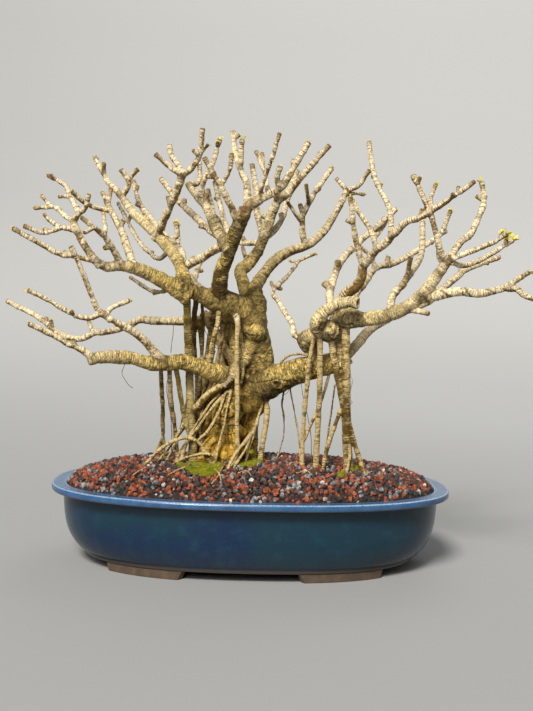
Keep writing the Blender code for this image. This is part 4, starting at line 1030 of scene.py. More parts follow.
trunkLook = {
    **boughLook, "main": (0.255, 0.165, 0.020), "warm": (0.175, 0.108, 0.009), "paleHighlight": (0.76, 0.55, 0.17),
    "under": (0.120, 0.071, 0.005), "deep": (0.058, 0.034, 0.003), "ringShare": 1.0,
}
rootLook = {
    **boughLook, "main": (0.21, 0.136, 0.032), "warm": (0.135, 0.083, 0.013), "paleHighlight": (0.56, 0.42, 0.19),
    "ringShare": 0.35, "spots": 0.4, "hollowShadeShare": 0.6,
}


# the wood of trunk, boughs and roots
def limbFrom(kind, shape, **traits):
    return Limb(kind, shape["girths"], [placeOf(place) for place in shape["places"]],
                **{**shape["traits"], **traits})


# a limb's light trait paints light on it, and its dark trait paints shade on it
limbTraits = {
    "bough_shoulder": {"light": 1.7},
    "bough_left_crown": {"light": 1.2},
    "bough_left_upper": {"light": 0.9},
    "bough_left_low": {"light": 1.2},
    "bough_right_low": {"wire": 1.0, "light": 0.5},
    "bough_right_main": {"twist": 2.6, "light": 1.6},
    "bough_front": {"dark": 0.95},
    "bough_right_centre": {"dark": 0.9},
    "bough_back_leader": {"dark": 0.7},
    "bough_left_back": {"dark": 0.25},
    "bough_right_high": {"dark": 0.85},
    "bough_knob": {"dark": 0.2},
    "bough_elbow": {"collar": 0.1},
    "root_pillar_left": {"green": 0.4, "dark": 0.2},
    "root_pillar_inner": {"dark": 0.35},
    "root_shoulder": {"dark": 0.3},
    "root_front": {"light": 0.6},
    "root_strut": {"dark": 0.45, "gnarl": 1.0},
    "root_pillar_right": {"dark": 0.3, "light": -0.4},
    "roots_right": {"dark": 0.1},
}
trunk = limbFrom("trunk", trunkShape, collar=0.06, ochre=1.0, gnarl=1.1)
boughs = {name: limbFrom("bough", shape, **limbTraits.get(name, {})) for name, shape in boughTable.items()}
rootShapes = {
    name: [limbFrom("root", shape, root=1.0, **limbTraits.get(name, {})) for shape in shapes]
    for name, shapes in rootTable.items()
}

rightBoughs = (
    "bough_hub", "bough_elbow", "bough_knob", "bough_right_main", "bough_right_low", "bough_right_back",
    "bough_right_high",
)
leftBoughs = [name for name in boughs if name not in rightBoughs]

# limbs that only the scene has: rolls and bands on the old wood, stubs, and thin roots
# their light traits paint light and their dark traits paint shade
extraLimbs = {
    "trunk": (
        limb((5, 4), (247, 262, 58), (242, 246, 52), cut=1.0),
        limb((5, 4), (256, 258, 60), (254, 250, 56), cut=1.0),
        limb((13, 13), (237, 230, -73), (242, 216, -86), (245, 208, -92), cut=1.0, dark=0.4),
        limb((10, 8, 6, 5), (222, 304, -20), (231, 310, -26), (237, 319, -32), (238, 332, -35), dark=0.35),
        limb((18, 27, 32, 27, 20), (255, 342, 4), (253, 329, 0), (243, 314, -8), (225, 304, -22),
             (205, 297, -33), light=1.2),
        limb((12, 17, 12), (246, 326, -12), (254, 331, -14), (262, 334, -10)),
        limb((14, 20, 16), (268, 394, 2), (274, 386, -6), (280, 378, -8)),
        limb((14, 16, 12), (238, 318, 8), (236, 335, 10), (238, 352, 8), (246, 372, 4)),
        limb((12, 13, 12, 10), (252, 344, -6), (243, 360, -16), (232, 376, -25), (222, 386, -27), dark=0.25),
        limb((14, 30, 34, 24), (240, 388, -2), (230, 402, -8), (227, 414, -12), (227, 426, -8), ochre=0.5,
             gnarl=1.0),
        limb((15, 20, 20, 15), (214, 432, -12), (224, 437, -17), (234, 436, -17), (243, 430, -10), ochre=1.0,
             gnarl=0.8),
        limb((14, 20, 21, 16), (209, 448, -16), (218, 452, -23), (230, 453, -24), (240, 448, -16), ochre=1.0,
             gnarl=0.8),
        limb((14, 20, 20, 15), (207, 463, -20), (217, 468, -25), (229, 468, -25), (240, 464, -16), ochre=1.0,
             gnarl=0.8),
        limb((10, 18, 18), (258, 400, 4), (252, 424, 2), (249, 446, 0), (250, 474, 2), ochre=0.7, dark=0.2),
        limb((8, 11, 11), (214, 438, -30), (207, 446, -34), (203, 458, -36), (202, 474, -36), ochre=1.0,
             gnarl=0.6),
    ),
    "right": (
        limb((6.5, 5.5), (405, 309, -96), (416, 311, -104), (430, 314, -112), cut=1.0),
        limb((9, 13, 18, 15), (318, 364, -24), (313, 350, -26), (307, 340, -30), (300, 337, -31)),
        limb((15, 20, 15), (322, 327, -58), (329, 330, -61), (336, 331, -58), gnarl=1.0),
        limb((17, 20, 19, 17), (341, 322, -48), (346, 318, -52), (352, 319, -58), (360, 319, -64), gnarl=1.0,
             light=0.8),
    ),
    "leftRoots": (
        limb((3.8, 3.4), (168, 468, -30), (182, 459, -44), (203, 454, -54), (214, 456, -52)),
        limb((3.2, 3.0), (231, 390, -24), (228, 406, -34), (222, 432, -42), (214, 464, -46)),
        limb((3.0, 2.8), (220, 394, -22), (210, 404, -27), (190, 434, -36), (170, 470, -37)),
        limb((3.2, 3.0), (196, 410, -24), (184, 428, -22), (172, 444, -18), (156, 470, -12), dark=0.3),
        limb((3.6, 3.2), (203, 402, -22), (200, 430, -16), (203, 450, -18), (206, 470, -24), dark=0.4),
        limb((3.0, 2.8), (212, 392, -20), (203, 420, -14), (190, 450, -8), (180, 470, -4), dark=0.5),
        limb((3.0, 2.8), (186, 416, -26), (178, 434, -28), (166, 452, -26), (150, 470, -20), dark=0.2),
        limb((3.2, 3.0), (188, 398, -2), (180, 430, 6), (172, 450, 8), (160, 470, 8), dark=0.5),
        # the thicket between the left pillars and the trunk, with painted shade for its shaded inside
        limb((12, 15), (227, 314, 14), (224, 345, 18), (218, 375, 22), (211, 410, 24), (205, 472, 28),
             dark=0.5),
        limb((9, 12), (214, 308, 6), (211, 340, 12), (206, 375, 18), (202, 410, 22), (198, 472, 26),
             dark=0.55),
        limb((9, 10), (236, 326, 18), (231, 352, 22), (224, 385, 28), (216, 420, 32), (211, 472, 36),
             dark=0.6),
        limb((4, 4), (202, 300, -22), (203, 330, 0), (201, 365, 8), (198, 400, 12), (195, 472, 18),
             dark=0.45),
        limb((4, 4.5), (199, 318, -6), (201, 345, 2), (204, 385, 4), (199, 425, 4), (187, 472, 2), dark=0.35),
        limb((4, 4), (214, 350, -14), (206, 385, -6), (197, 415, -4), (185, 472, -2), dark=0.35),
        limb((3.5, 4), (228, 318, -18), (222, 340, -10), (216, 372, -10), (207, 395, -14), dark=0.3),
        limb((7, 8), (259, 402, 14), (252, 430, 18), (246, 472, 20), dark=0.65),
        limb((6, 7), (248, 404, 18), (242, 430, 20), (235, 472, 20), dark=0.65),
        limb((3.5, 3.5), (262, 404, -2), (254, 428, -12), (240, 448, -30), (228, 472, -44)),
        limb((3, 3), (254, 428, -16), (246, 448, -38), (236, 464, -54), (228, 478, -64)),
        limb((2.8, 2.8), (258, 424, -10), (251, 444, -26), (245, 462, -34), (241, 472, -38)),
        limb((9, 10), (203, 312, 10), (219, 338, 8), (236, 368, 2)),
        limb((3.5, 3), (241, 330, -12), (243, 350, -20), (243, 372, -24), (241, 384, -22)),
    ),
    "rightRoots": (
        limb((4.5, 3.5), (348, 440, -43), (350, 456, -50), (346, 474, -58)),
        limb((2.6, 2.4), (335, 384, -44), (331, 416, -38), (322, 470, -30), dark=0.5),
        limb((2.2, 2.0), (288, 376, -16), (291, 392, -12), (295, 413, -10), (300, 448, -20), (301, 470, -30),
             dark=0.9),
        limb((2.2, 2.0), (286, 378, -2), (282, 403, 4), (284, 417, 8), (283, 438, 8), (276, 462, 4),
             dark=0.9),
        limb((3, 3), (308, 355, -32), (297, 354, -28), (288, 356, -22), (280, 363, -16), grounded=False),
    ),
}


def woodSkin(name, limbs):
    tubes = newObject(name, *together(item.tube() for item in limbs))
    skin = Skin(remeshed(tubes, wood["voxels"].get(name, wood["voxel"])), limbs)
    skin.fillForks()
    addBark(skin)
    print(f"{name}: {len(skin.faces) * 2} triangles")
    return skin


# twigs, grown mass by mass from their stems
growth = {
    "sleeve": 13 * mm,  # length of a stem's foot that is part of its bough's skin
    "near": 9 * mm,  # a stem that starts nearer than this to a bough's end carries it on
    "seed": 11, "spurEvery": 62 * mm, "spurLength": (4, 9), "spurShare": 0.8, "spurPlaces": (0.2, 0.94),
    "spurMargin": 7 * mm,  # from a spur's end to the sides of the box
    "brownTips": (0.0, 0.15, 0.35, 0.9),  # how brown the end of a twig may be
}
boughEnds = np.array([item.points[-1] for item in boughs.values()])


def leaned(points, lean):
    # a route leaned in depth, more and more towards its tip, along its sight lines
    eye = np.array([elevation["eyeAcross"], -elevation["eyeDistance"], eyeHeight]) + potMiddle
    route = [points[0]]
    for index, point in enumerate(points[1:], start=1):
        sight = point - eye
        route.append(point + sight * (lean * mm * index / (len(points) - 1) / sight[1]))
    return route


def squaresOf(radius, depth):
    # a limb's girth in squares of the elevation, from its radius and how far back it is
    return 2 * radius / elevation["square"] / (1 + (depth - potMiddle[1]) / elevation["eyeDistance"])


def spurFrom(twig, chance):
    # a short side shoot from a seeded place, turned away from its twig and upwards
    share = chance.uniform(*growth["spurPlaces"])
    start = twig.at(share)
    ahead = twig.at(min(share + 0.05, 1.0)) - start
    ahead = ahead / max(np.linalg.norm(ahead), 1e-9)
    outward = np.array([chance.uniform(-1, 1), chance.uniform(-1, 1), chance.uniform(-0.3, 1)])
    outward = outward - ahead * (outward @ ahead)
    outward = outward / np.linalg.norm(outward)
    radius = float(np.interp(share * twig.length, twig.run, twig.radii))
    reach = ahead * 0.7 + outward
    end = start + reach / np.linalg.norm(reach) * (chance.uniform(*growth["spurLength"]) * mm + radius)
    girth = squaresOf(radius, start[1]) * growth["spurShare"]
    return Limb("twig", (girth, girth * 0.9), [start, end], cut=1.0, collar=0.15)


def insideBox(point, margin):
    low, high = (np.array(corner) for corner in cadBox)
    return bool((point > low + margin).all() and (point < high - margin).all())


def growMass(shapes, chance):
    twigs = []
    for shape in shapes:
        points = [placeOf(place) for place in shape["places"]]
        traits = {"cut": 1.0, **shape["traits"]}
        if "twig" in shape:
            points.insert(0, twigs[shape["twig"]].at(shape["share"]))
        points = leaned(points, traits.get("lean", 0))
        if "twig" not in shape:
            follows = np.linalg.norm(boughEnds - points[0], axis=1).min() < growth["near"]
            traits["collar"] = 0.05 if follows else 0.3
            back = points[0] - points[1]
            lead = wood["lead"] if follows else wood["sideLead"]
            points.insert(0, points[0] + back / np.linalg.norm(back) * lead)
        traits["brownTip"] = chance.choice(growth["brownTips"])
        twigs.append(Limb("twig", shape["girths"], points, **traits))
    spurs = []
    for twig in twigs:
        for _ in range(int(twig.length / growth["spurEvery"])):
            spur = spurFrom(twig, chance)
            if insideBox(spur.points[-1], growth["spurMargin"]):
                spurs.append(spur)
    return twigs, spurs


twigGroups = {
    "twigsLeft": (
        "twigs_left_tip", "twigs_left_mid", "twigs_left_front", "twigs_left_under", "twigs_left_low",
        "twigs_left_rise", "twigs_left_back"),
    "twigsCrown": ("twigs_crown_left", "twigs_crown_back", "twigs_crown_fork", "twigs_crown_centre"),
    "twigsFront": ("twigs_front_left", "twigs_front"),
    "twigsBack": ("twigs_back_leader", "twigs_back", "twigs_back_left"),
    "twigsMiddle": ("twigs_right_centre", "twigs_right_low", "twigs_right_back", "twigs_deadwood"),
    "twigsRight": (
        "twigs_right_high", "twigs_right_inner", "twigs_right_mid", "twigs_right_fork", "twigs_right_end",
        "twigs_right_back_end"),
}
chance = random.Random(growth["seed"])
grown = {mass: growMass(massTable[mass], chance) for masses in twigGroups.values() for mass in masses}


def sleeve(item):
    # the foot of a stem, a little thicker than it, for the skin of the wood that it leaves
    last = min(int(np.searchsorted(item.run, growth["sleeve"] + wood["lead"])), len(item.run) - 1)
    girth = squaresOf(item.radii[last], item.points[0, 1]) * np.array([1.1, 0.86]) / wood["slimmer"]["bough"]
    return Limb("bough", tuple(girth), item.points[[0, last // 2, last]], collar=0.0, uneven=0.0)


sleeves = {mass: sleeve(twigs[0]) for mass, (twigs, _) in grown.items()}
rightMasses = (*twigGroups["twigsRight"], "twigs_right_back", "twigs_deadwood")

# marks, each at a column and row of the elevation and with a size in squares
trunkMarks = {
    "eyes": (((185, 358), 6), ((184, 285), 4.5), ((228, 410), 7), ((277, 385), 6), ((234, 298), 6)),
    "knobs": (((255, 329), 11, 0.3), ((246, 345), 9, 0.2), ((222, 372), 9, 0.25)),  # and their rise, in sizes
    "groove": (0.9 * mm, 1.3 * mm),  # width and depth
    "grooves": (
        ((240, 379), (250, 382), (262, 381), (276, 377)),
        ((217, 431), (227, 433), (238, 431)),
        ((219, 418), (229, 420), (239, 417)),
        ((244, 335), (253, 338), (265, 335)),
        ((248, 352), (257, 355), (268, 352)),
        ((262, 392), (268, 401)),
        ((246, 396), (244, 408), (246, 420)),
        ((233, 389), (228, 397)),
    ),
    "holes": (  # and their depth, and how far the lip stands out
        ((249, 373), 2.5, 3 * mm), ((256, 373), 2.5, 3 * mm), ((245, 209), 5.0, 1.2 * mm, 0.8 * mm),
        ((277, 384), 2.6, 2.0 * mm, 0.6 * mm), ((226, 410), 2.2, 1.6 * mm, 0.6 * mm),
    ),
}
rightMarks = {
    "eyes": (((331, 326), 6), ((346, 318), 5)),
    "knobs": (((315, 326), 6, 0.28), ((324, 322), 7, 0.28), ((332, 330), 6, 0.28), ((343, 341), 5, 0.28)),
    "groove": (0.8 * mm, 1.1 * mm),
    "grooves": (
        ((327, 335), (333, 341), (341, 343)),
        ((336, 320), (344, 326), (352, 326)),
        ((316, 333), (322, 331), (329, 333)),
    ),
    "holes": (((360, 303), 4, 2.5 * mm, 0.8 * mm),),
}


def addMarks(skin, marks):
    for mark in marks["eyes"]:
        markEye(skin, *mark)
    for mark in marks["knobs"]:
        markKnob(skin, *mark)
    for line in marks["grooves"]:
        markGroove(skin, line, *marks["groove"])
    for mark in marks["holes"]:
        markHole(skin, *mark)


mainWood = [trunk, *(boughs[name] for name in leftBoughs)]
mainWood += [limbFrom("bough", shape) for shape in extraLimbs["trunk"]]
mainWood += [item for mass, item in sleeves.items() if mass not in rightMasses]
trunkSkin = woodSkin("trunkWood", mainWood)
addMarks(trunkSkin, trunkMarks)
seat(trunkSkin.finish(barkFinish("oldBark", trunkLook, twigLook)), "bark", "trunk", *leftBoughs)

rightWood = [boughs[name] for name in rightBoughs]
rightWood += [limbFrom("bough", shape) for shape in extraLimbs["right"]]
rightWood += [sleeves[mass] for mass in rightMasses]
rightSkin = woodSkin("rightWood", rightWood)
addMarks(rightSkin, rightMarks)
seat(rightSkin.finish(barkFinish("boughBark", boughLook, twigLook)), "bark", *rightBoughs)

rightRoots = ("roots_right", "root_right_middle", "root_pillar_right")
leftRoots = [name for name in rootTable if name not in rightRoots]
rootFinish = barkFinish("rootBark", rootLook, rootLook)
for pieceName, names in (("leftRoots", leftRoots), ("rightRoots", rightRoots)):
    rootWood = [item for name in names for item in rootShapes[name]]
    rootWood += [limbFrom("root", shape, root=1.0) for shape in extraLimbs[pieceName]]
    seat(woodSkin(pieceName, rootWood).finish(rootFinish), "bark", *names)

twigFinish = barkFinish("twigBark", boughLook, twigLook)
for groupName, masses in twigGroups.items():
    groupLimbs = [item for mass in masses for part in grown[mass] for item in part]
    seat(woodSkin(groupName, groupLimbs).finish(twigFinish), "twig", *masses)


pot = {
    "length": 508 * mm, "width": 321 * mm, "power": 2.4, "turn": math.radians(1.0), "steps": 200,
    "overhang": 14.5 * mm,  # of the rim beyond the wall
    "sweep": 0.46,  # the width draws in this much less than the length
    "footHeight": 11 * mm, "wallTop": 88.5 * mm, "top": 97 * mm, "baseInset": 44 * mm,
    "lean": 4 * mm, "curve": 20 * mm,  # of the wall, from its top to its foot
    "soilEdge": 1 * mm, "mound": 25 * mm, "soilInset": 19.8 * mm,
    "sightDepths": np.linspace(-150, 120, 541),  # in mm, where a sight line is tried against the soil
    "moundShares": (1.0, 0.97, 0.92, 0.86, 0.78, 0.69, 0.59, 0.48, 0.36, 0.24, 0.12, 0.04),
    "footArc": (39, 74.5), "footShift": -2.7, "footThickness": 12 * mm, "footInset": 3 * mm,
    "footSlant": 1.75,  # degrees by which a foot is shorter at the bottom of each end
}
soilHalves = (
    pot["length"] / 2 - pot["soilInset"],
    pot["width"] / 2 - pot["overhang"] - pot["sweep"] * (pot["soilInset"] - pot["overhang"]),
)
potCos, potSin = math.cos(pot["turn"]), math.sin(pot["turn"])


def moundHeight(share):
    # of the soil at a share of the way out to the pot's wall
    return rimTop + pot["soilEdge"] + pot["mound"] * (1 - share ** 3) ** 0.6


def groundAt(column, row):
    # the place on the soil that shows at a column and row, or the near end of a sight line that misses it
    line = np.array([placeOf((column, row, depth)) for depth in pot["sightDepths"]])
    spots = line - potMiddle
    across = spots[:, 0] * potCos + spots[:, 1] * potSin
    back = spots[:, 1] * potCos - spots[:, 0] * potSin
    halfLength, halfWidth = soilHalves
    share = (np.abs(across) / halfLength) ** pot["power"] + (np.abs(back) / halfWidth) ** pot["power"]
    ground = moundHeight(np.clip(share ** (1 / pot["power"]), 0, 1))
    under = np.flatnonzero(line[:, 2] <= ground)
    return line[under[0]] if len(under) else line[0]


def ovalRing(inset, height, shrink=1.0, angles=None):
    # points round the pot's oval, inset from the rim's outer edge
    if angles is None:
        angles = np.arange(pot["steps"]) * math.tau / pot["steps"]
    cosine, sine = np.cos(angles), np.sin(angles)
    power = 2 / pot["power"]
    widthInset = min(inset, pot["overhang"]) + pot["sweep"] * max(0.0, inset - pot["overhang"])
    across = np.sign(cosine) * np.abs(cosine) ** power * (pot["length"] / 2 - inset) * shrink
    back = np.sign(sine) * np.abs(sine) ** power * (pot["width"] / 2 - widthInset) * shrink
    ring = np.stack([across * potCos - back * potSin, across * potSin + back * potCos,
                     np.full(len(angles), height)], axis=1)
    return ring + potMiddle


def potProfile():
    # (inset, height) up the outside, over the rim and down to the floor inside
    top, wallTop, foot, base = pot["top"], pot["wallTop"], pot["footHeight"], pot["baseInset"]
    ledge = ((6, 0), (0.8, 0), (0, 0.6), (-1.9, 4.2), (-1.3, 4.9), (-1.6, 5.6))  # mm from the base's edge
    profile = [(base + inset * mm, foot + height * mm) for inset, height in ledge]
    sideFoot = foot + 5 * mm
    for share in (0.03, 0.06, 0.1, 0.15, 0.21, 0.28, 0.36, 0.45, 0.55, 0.65, 0.75, 0.85, 0.93, 0.97):
        inset = pot["overhang"] + pot["lean"] * (1 - share) + pot["curve"] * (1 - share) ** 4
        profile.append((inset, sideFoot + (wallTop - sideFoot) * share))
    # the lip's underside and edge, its height from the wall's top, then its top, from the rim's top
    lip = ((13.3, -0.7), (11.3, 0.1), (2.6, 0), (1.2, 0.4), (0.4, 1.2), (0, 2.4), (0, 5.8))
    profile += [(inset * mm, wallTop + height * mm) for inset, height in lip]
    rim = ((0.4, 1.3), (1.3, 0.4), (2.6, 0), (8, 0.5), (13, 0.6), (16.8, 0), (17.8, 0.3), (18.7, 1.0),
           (19.3, 2.4), (21, 20), (23, 40))
    profile += [(inset * mm, top - drop * mm) for inset, drop in rim]
    return [*profile, (base, foot + 17 * mm), (base + 10 * mm, foot + 9 * mm)]


def glazeFinish():
    make = Finish("blueGlaze")
    broad = make.noise(9.0, 2.0)
    mottle = make.noise(60.0, 4.0, 0.6)
    speck = make.noise(620.0, 2.0, 0.6)
    thin = make.attribute("thin")
    body = make.layered(
        (0.0035, 0.016, 0.046),
        (broad.step(0.42, 0.6), (0.0045, 0.024, 0.040)),
        (mottle.step(0.5, 0.75) * 0.5, (0.010, 0.045, 0.066)),
        # painted reflection of the floor: greyer towards the foot
        (make.height().step(44 * mm, 14 * mm) * 0.45, (0.026, 0.030, 0.030)),
    )
    rim = make.layered(
        (0.018, 0.064, 0.155),
        (mottle.step(0.35, 0.7), (0.035, 0.105, 0.215)),
        (speck.step(0.56, 0.66) * 0.6, (0.012, 0.035, 0.085)),
    )
    colour = make.layered(
        body,
        (make.attribute("rim"), rim),
        # painted highlight along the rim's top edges
        (thin, make.mix(speck.step(0.45, 0.6), (0.34, 0.39, 0.45), (0.12, 0.19, 0.29))),
        (make.attribute("bare") * (0.5 + speck * 0.8), (0.060, 0.040, 0.024)),
    )
    return make.done(
        Base_Color=colour, Roughness=0.18 + speck * 0.14 + thin * 0.15, Coat_Weight=0.08, Coat_Roughness=0.05,
        Specular_IOR_Level=0.32, Normal=make.bump(mottle * 0.6 + speck * 0.1, 0.35 * mm, 0.5))


profile = potProfile()
dishSkin = ringSkin([ovalRing(inset, height) for inset, height in profile])
dish = newObject("glazedDish", *dishSkin, glazeFinish())
insets, heights = np.repeat(profile, pot["steps"], axis=0).T
aboveWall, aboveFoot = heights - pot["wallTop"], heights - pot["footHeight"]
# painted highlight along the outer and inner top edges of the rim
edge = bell(insets - 1.2 * mm, 0.9 * mm) * (heights > pot["top"] - 1 * mm)
edge += 0.6 * bell(insets - 17.6 * mm, 0.8 * mm) * (heights > pot["top"] - 2 * mm)
bare = bell(aboveWall - 0.6 * mm, 1.3 * mm) * (insets < 4 * mm) + 0.7 * bell(aboveFoot - 5 * mm, 0.5 * mm)
addAttribute(dish.data, "rim", smoothStep(aboveWall, -0.2 * mm, 0.6 * mm))
addAttribute(dish.data, "thin", np.clip(edge, 0, 1))
addAttribute(dish.data, "bare", np.clip(bare + (aboveFoot <= 0.7 * mm), 0, 1))
dish.data.shade_smooth()
seat(dish, "glaze", "pot")


def clayFinish():
    make = Finish("bareClay")
    mottle = make.noise(70.0, 4.0, 0.6)
    grit = make.noise(900.0, 3.0, 0.7)
    colour = make.layered(
        (0.044, 0.028, 0.016),
        (mottle.step(0.35, 0.7), (0.086, 0.057, 0.033)),
        (grit.step(0.6, 0.72) * 0.5, (0.030, 0.020, 0.013)),
    )
    return make.done(Base_Color=colour, Roughness=0.8 + grit * 0.1,
                     Normal=make.bump(grit * 0.5 + mottle, 0.4 * mm, 0.8))


def footMesh(quarter):
    # a strip that follows the oval, its ends slanting in towards the floor
    start, end = pot["footArc"]
    outer = pot["baseInset"] + pot["footInset"]
    inner = outer + pot["footThickness"]
    top = pot["footHeight"] + 1.5 * mm
    soften = 0.8 * mm
    section = (
        (outer + soften, 0.0, 1.0), (outer, soften, 0.9), (outer, top, 0.0), (inner, top, 0.0),
        (inner, soften, 0.9), (inner - soften, 0.0, 1.0),
    )
    base, mirrored = 180 * (quarter // 2), quarter % 2
    rings = []
    for share in np.linspace(0, 1, 17):
        ring = []
        for inset, height, slant in section:
            offMiddle = 1 - 2 * share
            angle = start + (end - start) * share + pot["footSlant"] * slant * offMiddle * abs(offMiddle)
            angle = base + (180 - angle if mirrored else angle) + pot["footShift"]
            ring.append(ovalRing(inset, height, 1.0, np.array([math.radians(angle)]))[0])
        rings.append(np.array(ring[::-1] if mirrored else ring))
    return ringSkin(rings)


feet = newObject("clayFeet", *together(footMesh(quarter) for quarter in range(4)), clayFinish())
seat(feet, "glaze", "pot")
print("pot done")


class NodeTree:
    # a Geometry Nodes tree with named inputs

    def __init__(self, name, **inputs):
        self.tree = bpy.data.node_groups.new(name, "GeometryNodeTree")
        self.names = {}
        self.socket("Geometry", "INPUT", "NodeSocketGeometry")
        for key, value in inputs.items():
            kind = {int: "NodeSocketInt", float: "NodeSocketFloat"}.get(type(value), "NodeSocketMaterial")
            self.names[key] = self.socket(key, "INPUT", kind).identifier
        self.socket("Geometry", "OUTPUT", "NodeSocketGeometry")
        self.start = self.tree.nodes.new("NodeGroupInput")
        self.end = self.tree.nodes.new("NodeGroupOutput")
        self.values = inputs

    def socket(self, name, way, kind):
        return self.tree.interface.new_socket(name, in_out=way, socket_type=kind)

    def node(self, kind, settings=None, values=None):
        node = self.tree.nodes.new(kind)
        for key, value in (settings or {}).items():
            setattr(node, key, value)
        for key, value in (values or {}).items():
            if isinstance(value, bpy.types.NodeSocket):
                self.tree.links.new(value, node.inputs[key])
            else:
                node.inputs[key].default_value = value
        return node

    def input(self, name):
        return self.start.outputs[name]

    def named(self, name, kind="FLOAT"):
        return self.node("GeometryNodeInputNamedAttribute", {"data_type": kind}, {"Name": name}).outputs[0]

    def random(self, low, high, seed):
        values = {2: low, 3: high, "Seed": seed}
        return self.node("FunctionNodeRandomValue", {"data_type": "FLOAT"}, values).outputs[1]

    def spin(self, most, seed):
        # a random turn about each axis, up to the angles given
        values = {0: (0.0, 0.0, 0.0), 1: most, "Seed": seed}
        return self.node("FunctionNodeRandomValue", {"data_type": "FLOAT_VECTOR"}, values).outputs[0]

    def compare(self, first, operation, second):
        settings = {"data_type": "FLOAT", "operation": operation}
        return self.node("FunctionNodeCompare", settings, {0: first, 1: second}).outputs[0]

    def times(self, first, second):
        return self.node("ShaderNodeMath", {"operation": "MULTIPLY"}, {0: first, 1: second}).outputs[0]

    def scattered(self, densest, **values):
        # points on the source's faces, no two nearer than the tree's spread
        return self.node("GeometryNodeDistributePointsOnFaces", {"distribute_method": "POISSON"}, {
            "Mesh": self.input("Geometry"), "Distance Min": self.input("spread"), "Density Max": densest,
            "Seed": self.input("seed"), **values})

    def plant(self, shapes, points, **values):
        # one of the shapes at each point, and no more to do
        source = self.node("GeometryNodeCollectionInfo", values={
            "Collection": shapes, "Separate Children": True, "Reset Children": True})
        placed = self.node("GeometryNodeInstanceOnPoints", values={
            "Points": points, "Instance": source.outputs[0], "Pick Instance": True, **values})
        self.finish(placed.outputs[0])

    def finish(self, geometry):
        realized = self.node("GeometryNodeRealizeInstances", values={"Geometry": geometry})
        painted = self.node("GeometryNodeSetMaterial", values={
            "Geometry": realized.outputs[0], "Material": self.input("finish")})
        self.tree.links.new(painted.outputs[0], self.end.inputs[0])

    def grow(self, name, source, **changes):
        # the tree's result on a copy of the source, as a plain mesh
        item = linked(name, source.data.copy())
        modifier = item.modifiers.new(name, "NODES")
        modifier.node_group = self.tree
        for key, value in {**self.values, **changes}.items():
            modifier[self.names[key]] = value
        return linked(name, evaluatedMesh(item))


def shapeFrom(builder, name):
    # a small shape for a tree to plant, not itself in the scene
    mesh = bpy.data.meshes.new(name)
    builder.to_mesh(mesh)
    builder.free()
    return bpy.data.objects.new(name, mesh)


def collected(name, shapes):
    collection = bpy.data.collections.new(name)
    for shape in shapes:
        collection.objects.link(shape)
    return collection


def joined(name, items):
    # several plain meshes of one material as one piece
    shapes = [(meshArrays(item.data)[0], [face.vertices[:] for face in item.data.polygons]) for item in items]
    material = items[-1].data.materials[-1]
    for item in items:
        discard(item)
    return newObject(name, *together(shapes), material)


# soil and gravel
def moundRings(inset, lift):
    return [ovalRing(inset, moundHeight(share) + lift, share) for share in pot["moundShares"]]


def soilFinish():
    make = Finish("darkSoil")
    clods = make.noise(140.0, 4.0, 0.7)
    grit = make.noise(700.0, 3.0, 0.7)
    # the soil's dark colour taken to near black, as painted shade in the gaps between the stones
    colour = make.layered(
        (0.005, 0.003, 0.002),
        (clods.step(0.4, 0.62), (0.018, 0.008, 0.005)),
        (grit.step(0.55, 0.7), (0.035, 0.014, 0.009)),
    )
    return make.done(Base_Color=colour, Roughness=0.9, Normal=make.bump(clods + grit, 1.2 * mm))


soilInner = ((54.3, 20.3), (44.3, 28.0), (23.3, 57.0), (19.8, 95.0))  # insets and heights in mm, up the wall
soilRings = [ovalRing(inset * mm, height * mm) for inset, height in soilInner]
soilRings += moundRings(pot["soilInset"], -2.5 * mm)
soilBed = newObject("soilBed", *ringSkin(soilRings), soilFinish())
soilBed.data.shade_smooth()
seat(soilBed, "soil", "soil")

gravel = {
    "spread": 5.0 * mm,  # least distance between the middles of two stones
    "sizes": (0.5, 1.35), "stone": 3.7 * mm, "seed": 5, "corners": 13, "shapes": 5,
    "beds": {"lowerBed": (2.2 * mm, -1.8 * mm), "upperBed": (3.6 * mm, 1.2 * mm)},  # inset and lift
    "kinds": {  # share of all stones, two main colours, the colour of the pores, roughness
        "redLava": (0.32, (0.18, 0.037, 0.013), (0.36, 0.092, 0.033), (0.035, 0.010, 0.005), 0.85),
        "darkLava": (0.28, (0.044, 0.015, 0.009), (0.110, 0.037, 0.021), (0.014, 0.006, 0.004), 0.88),
        "greyStone": (0.17, (0.085, 0.088, 0.089), (0.27, 0.27, 0.262), (0.028, 0.028, 0.028), 0.8),
        "blackStone": (0.21, (0.016, 0.016, 0.016), (0.042, 0.038, 0.036), (0.006, 0.006, 0.006), 0.85),
        "paleStone": (0.02, (0.42, 0.38, 0.33), (0.55, 0.52, 0.48), (0.20, 0.17, 0.14), 0.8),
    },
}


def stoneShape(seed):
    # an angular pebble of a few dozen faces
    chance = random.Random(seed)
    builder = bmesh.new()
    for index in range(gravel["corners"]):
        up = 1 - 2 * (index + 0.5) / gravel["corners"]
        turn = index * 2.4 + chance.uniform(-0.35, 0.35)
        flat = math.sqrt(1 - up * up)
        corner = Vector((flat * math.cos(turn), 0.85 * flat * math.sin(turn), 0.75 * up))
        builder.verts.new(corner * chance.uniform(0.8, 1.15))
    hull = bmesh.ops.convex_hull(builder, input=builder.verts[:])
    loose = [item for item in hull["geom_interior"] if isinstance(item, bmesh.types.BMVert)]
    bmesh.ops.delete(builder, geom=loose, context="VERTS")
    bmesh.ops.recalc_face_normals(builder, faces=builder.faces[:])
    return shapeFrom(builder, f"stone{seed}")


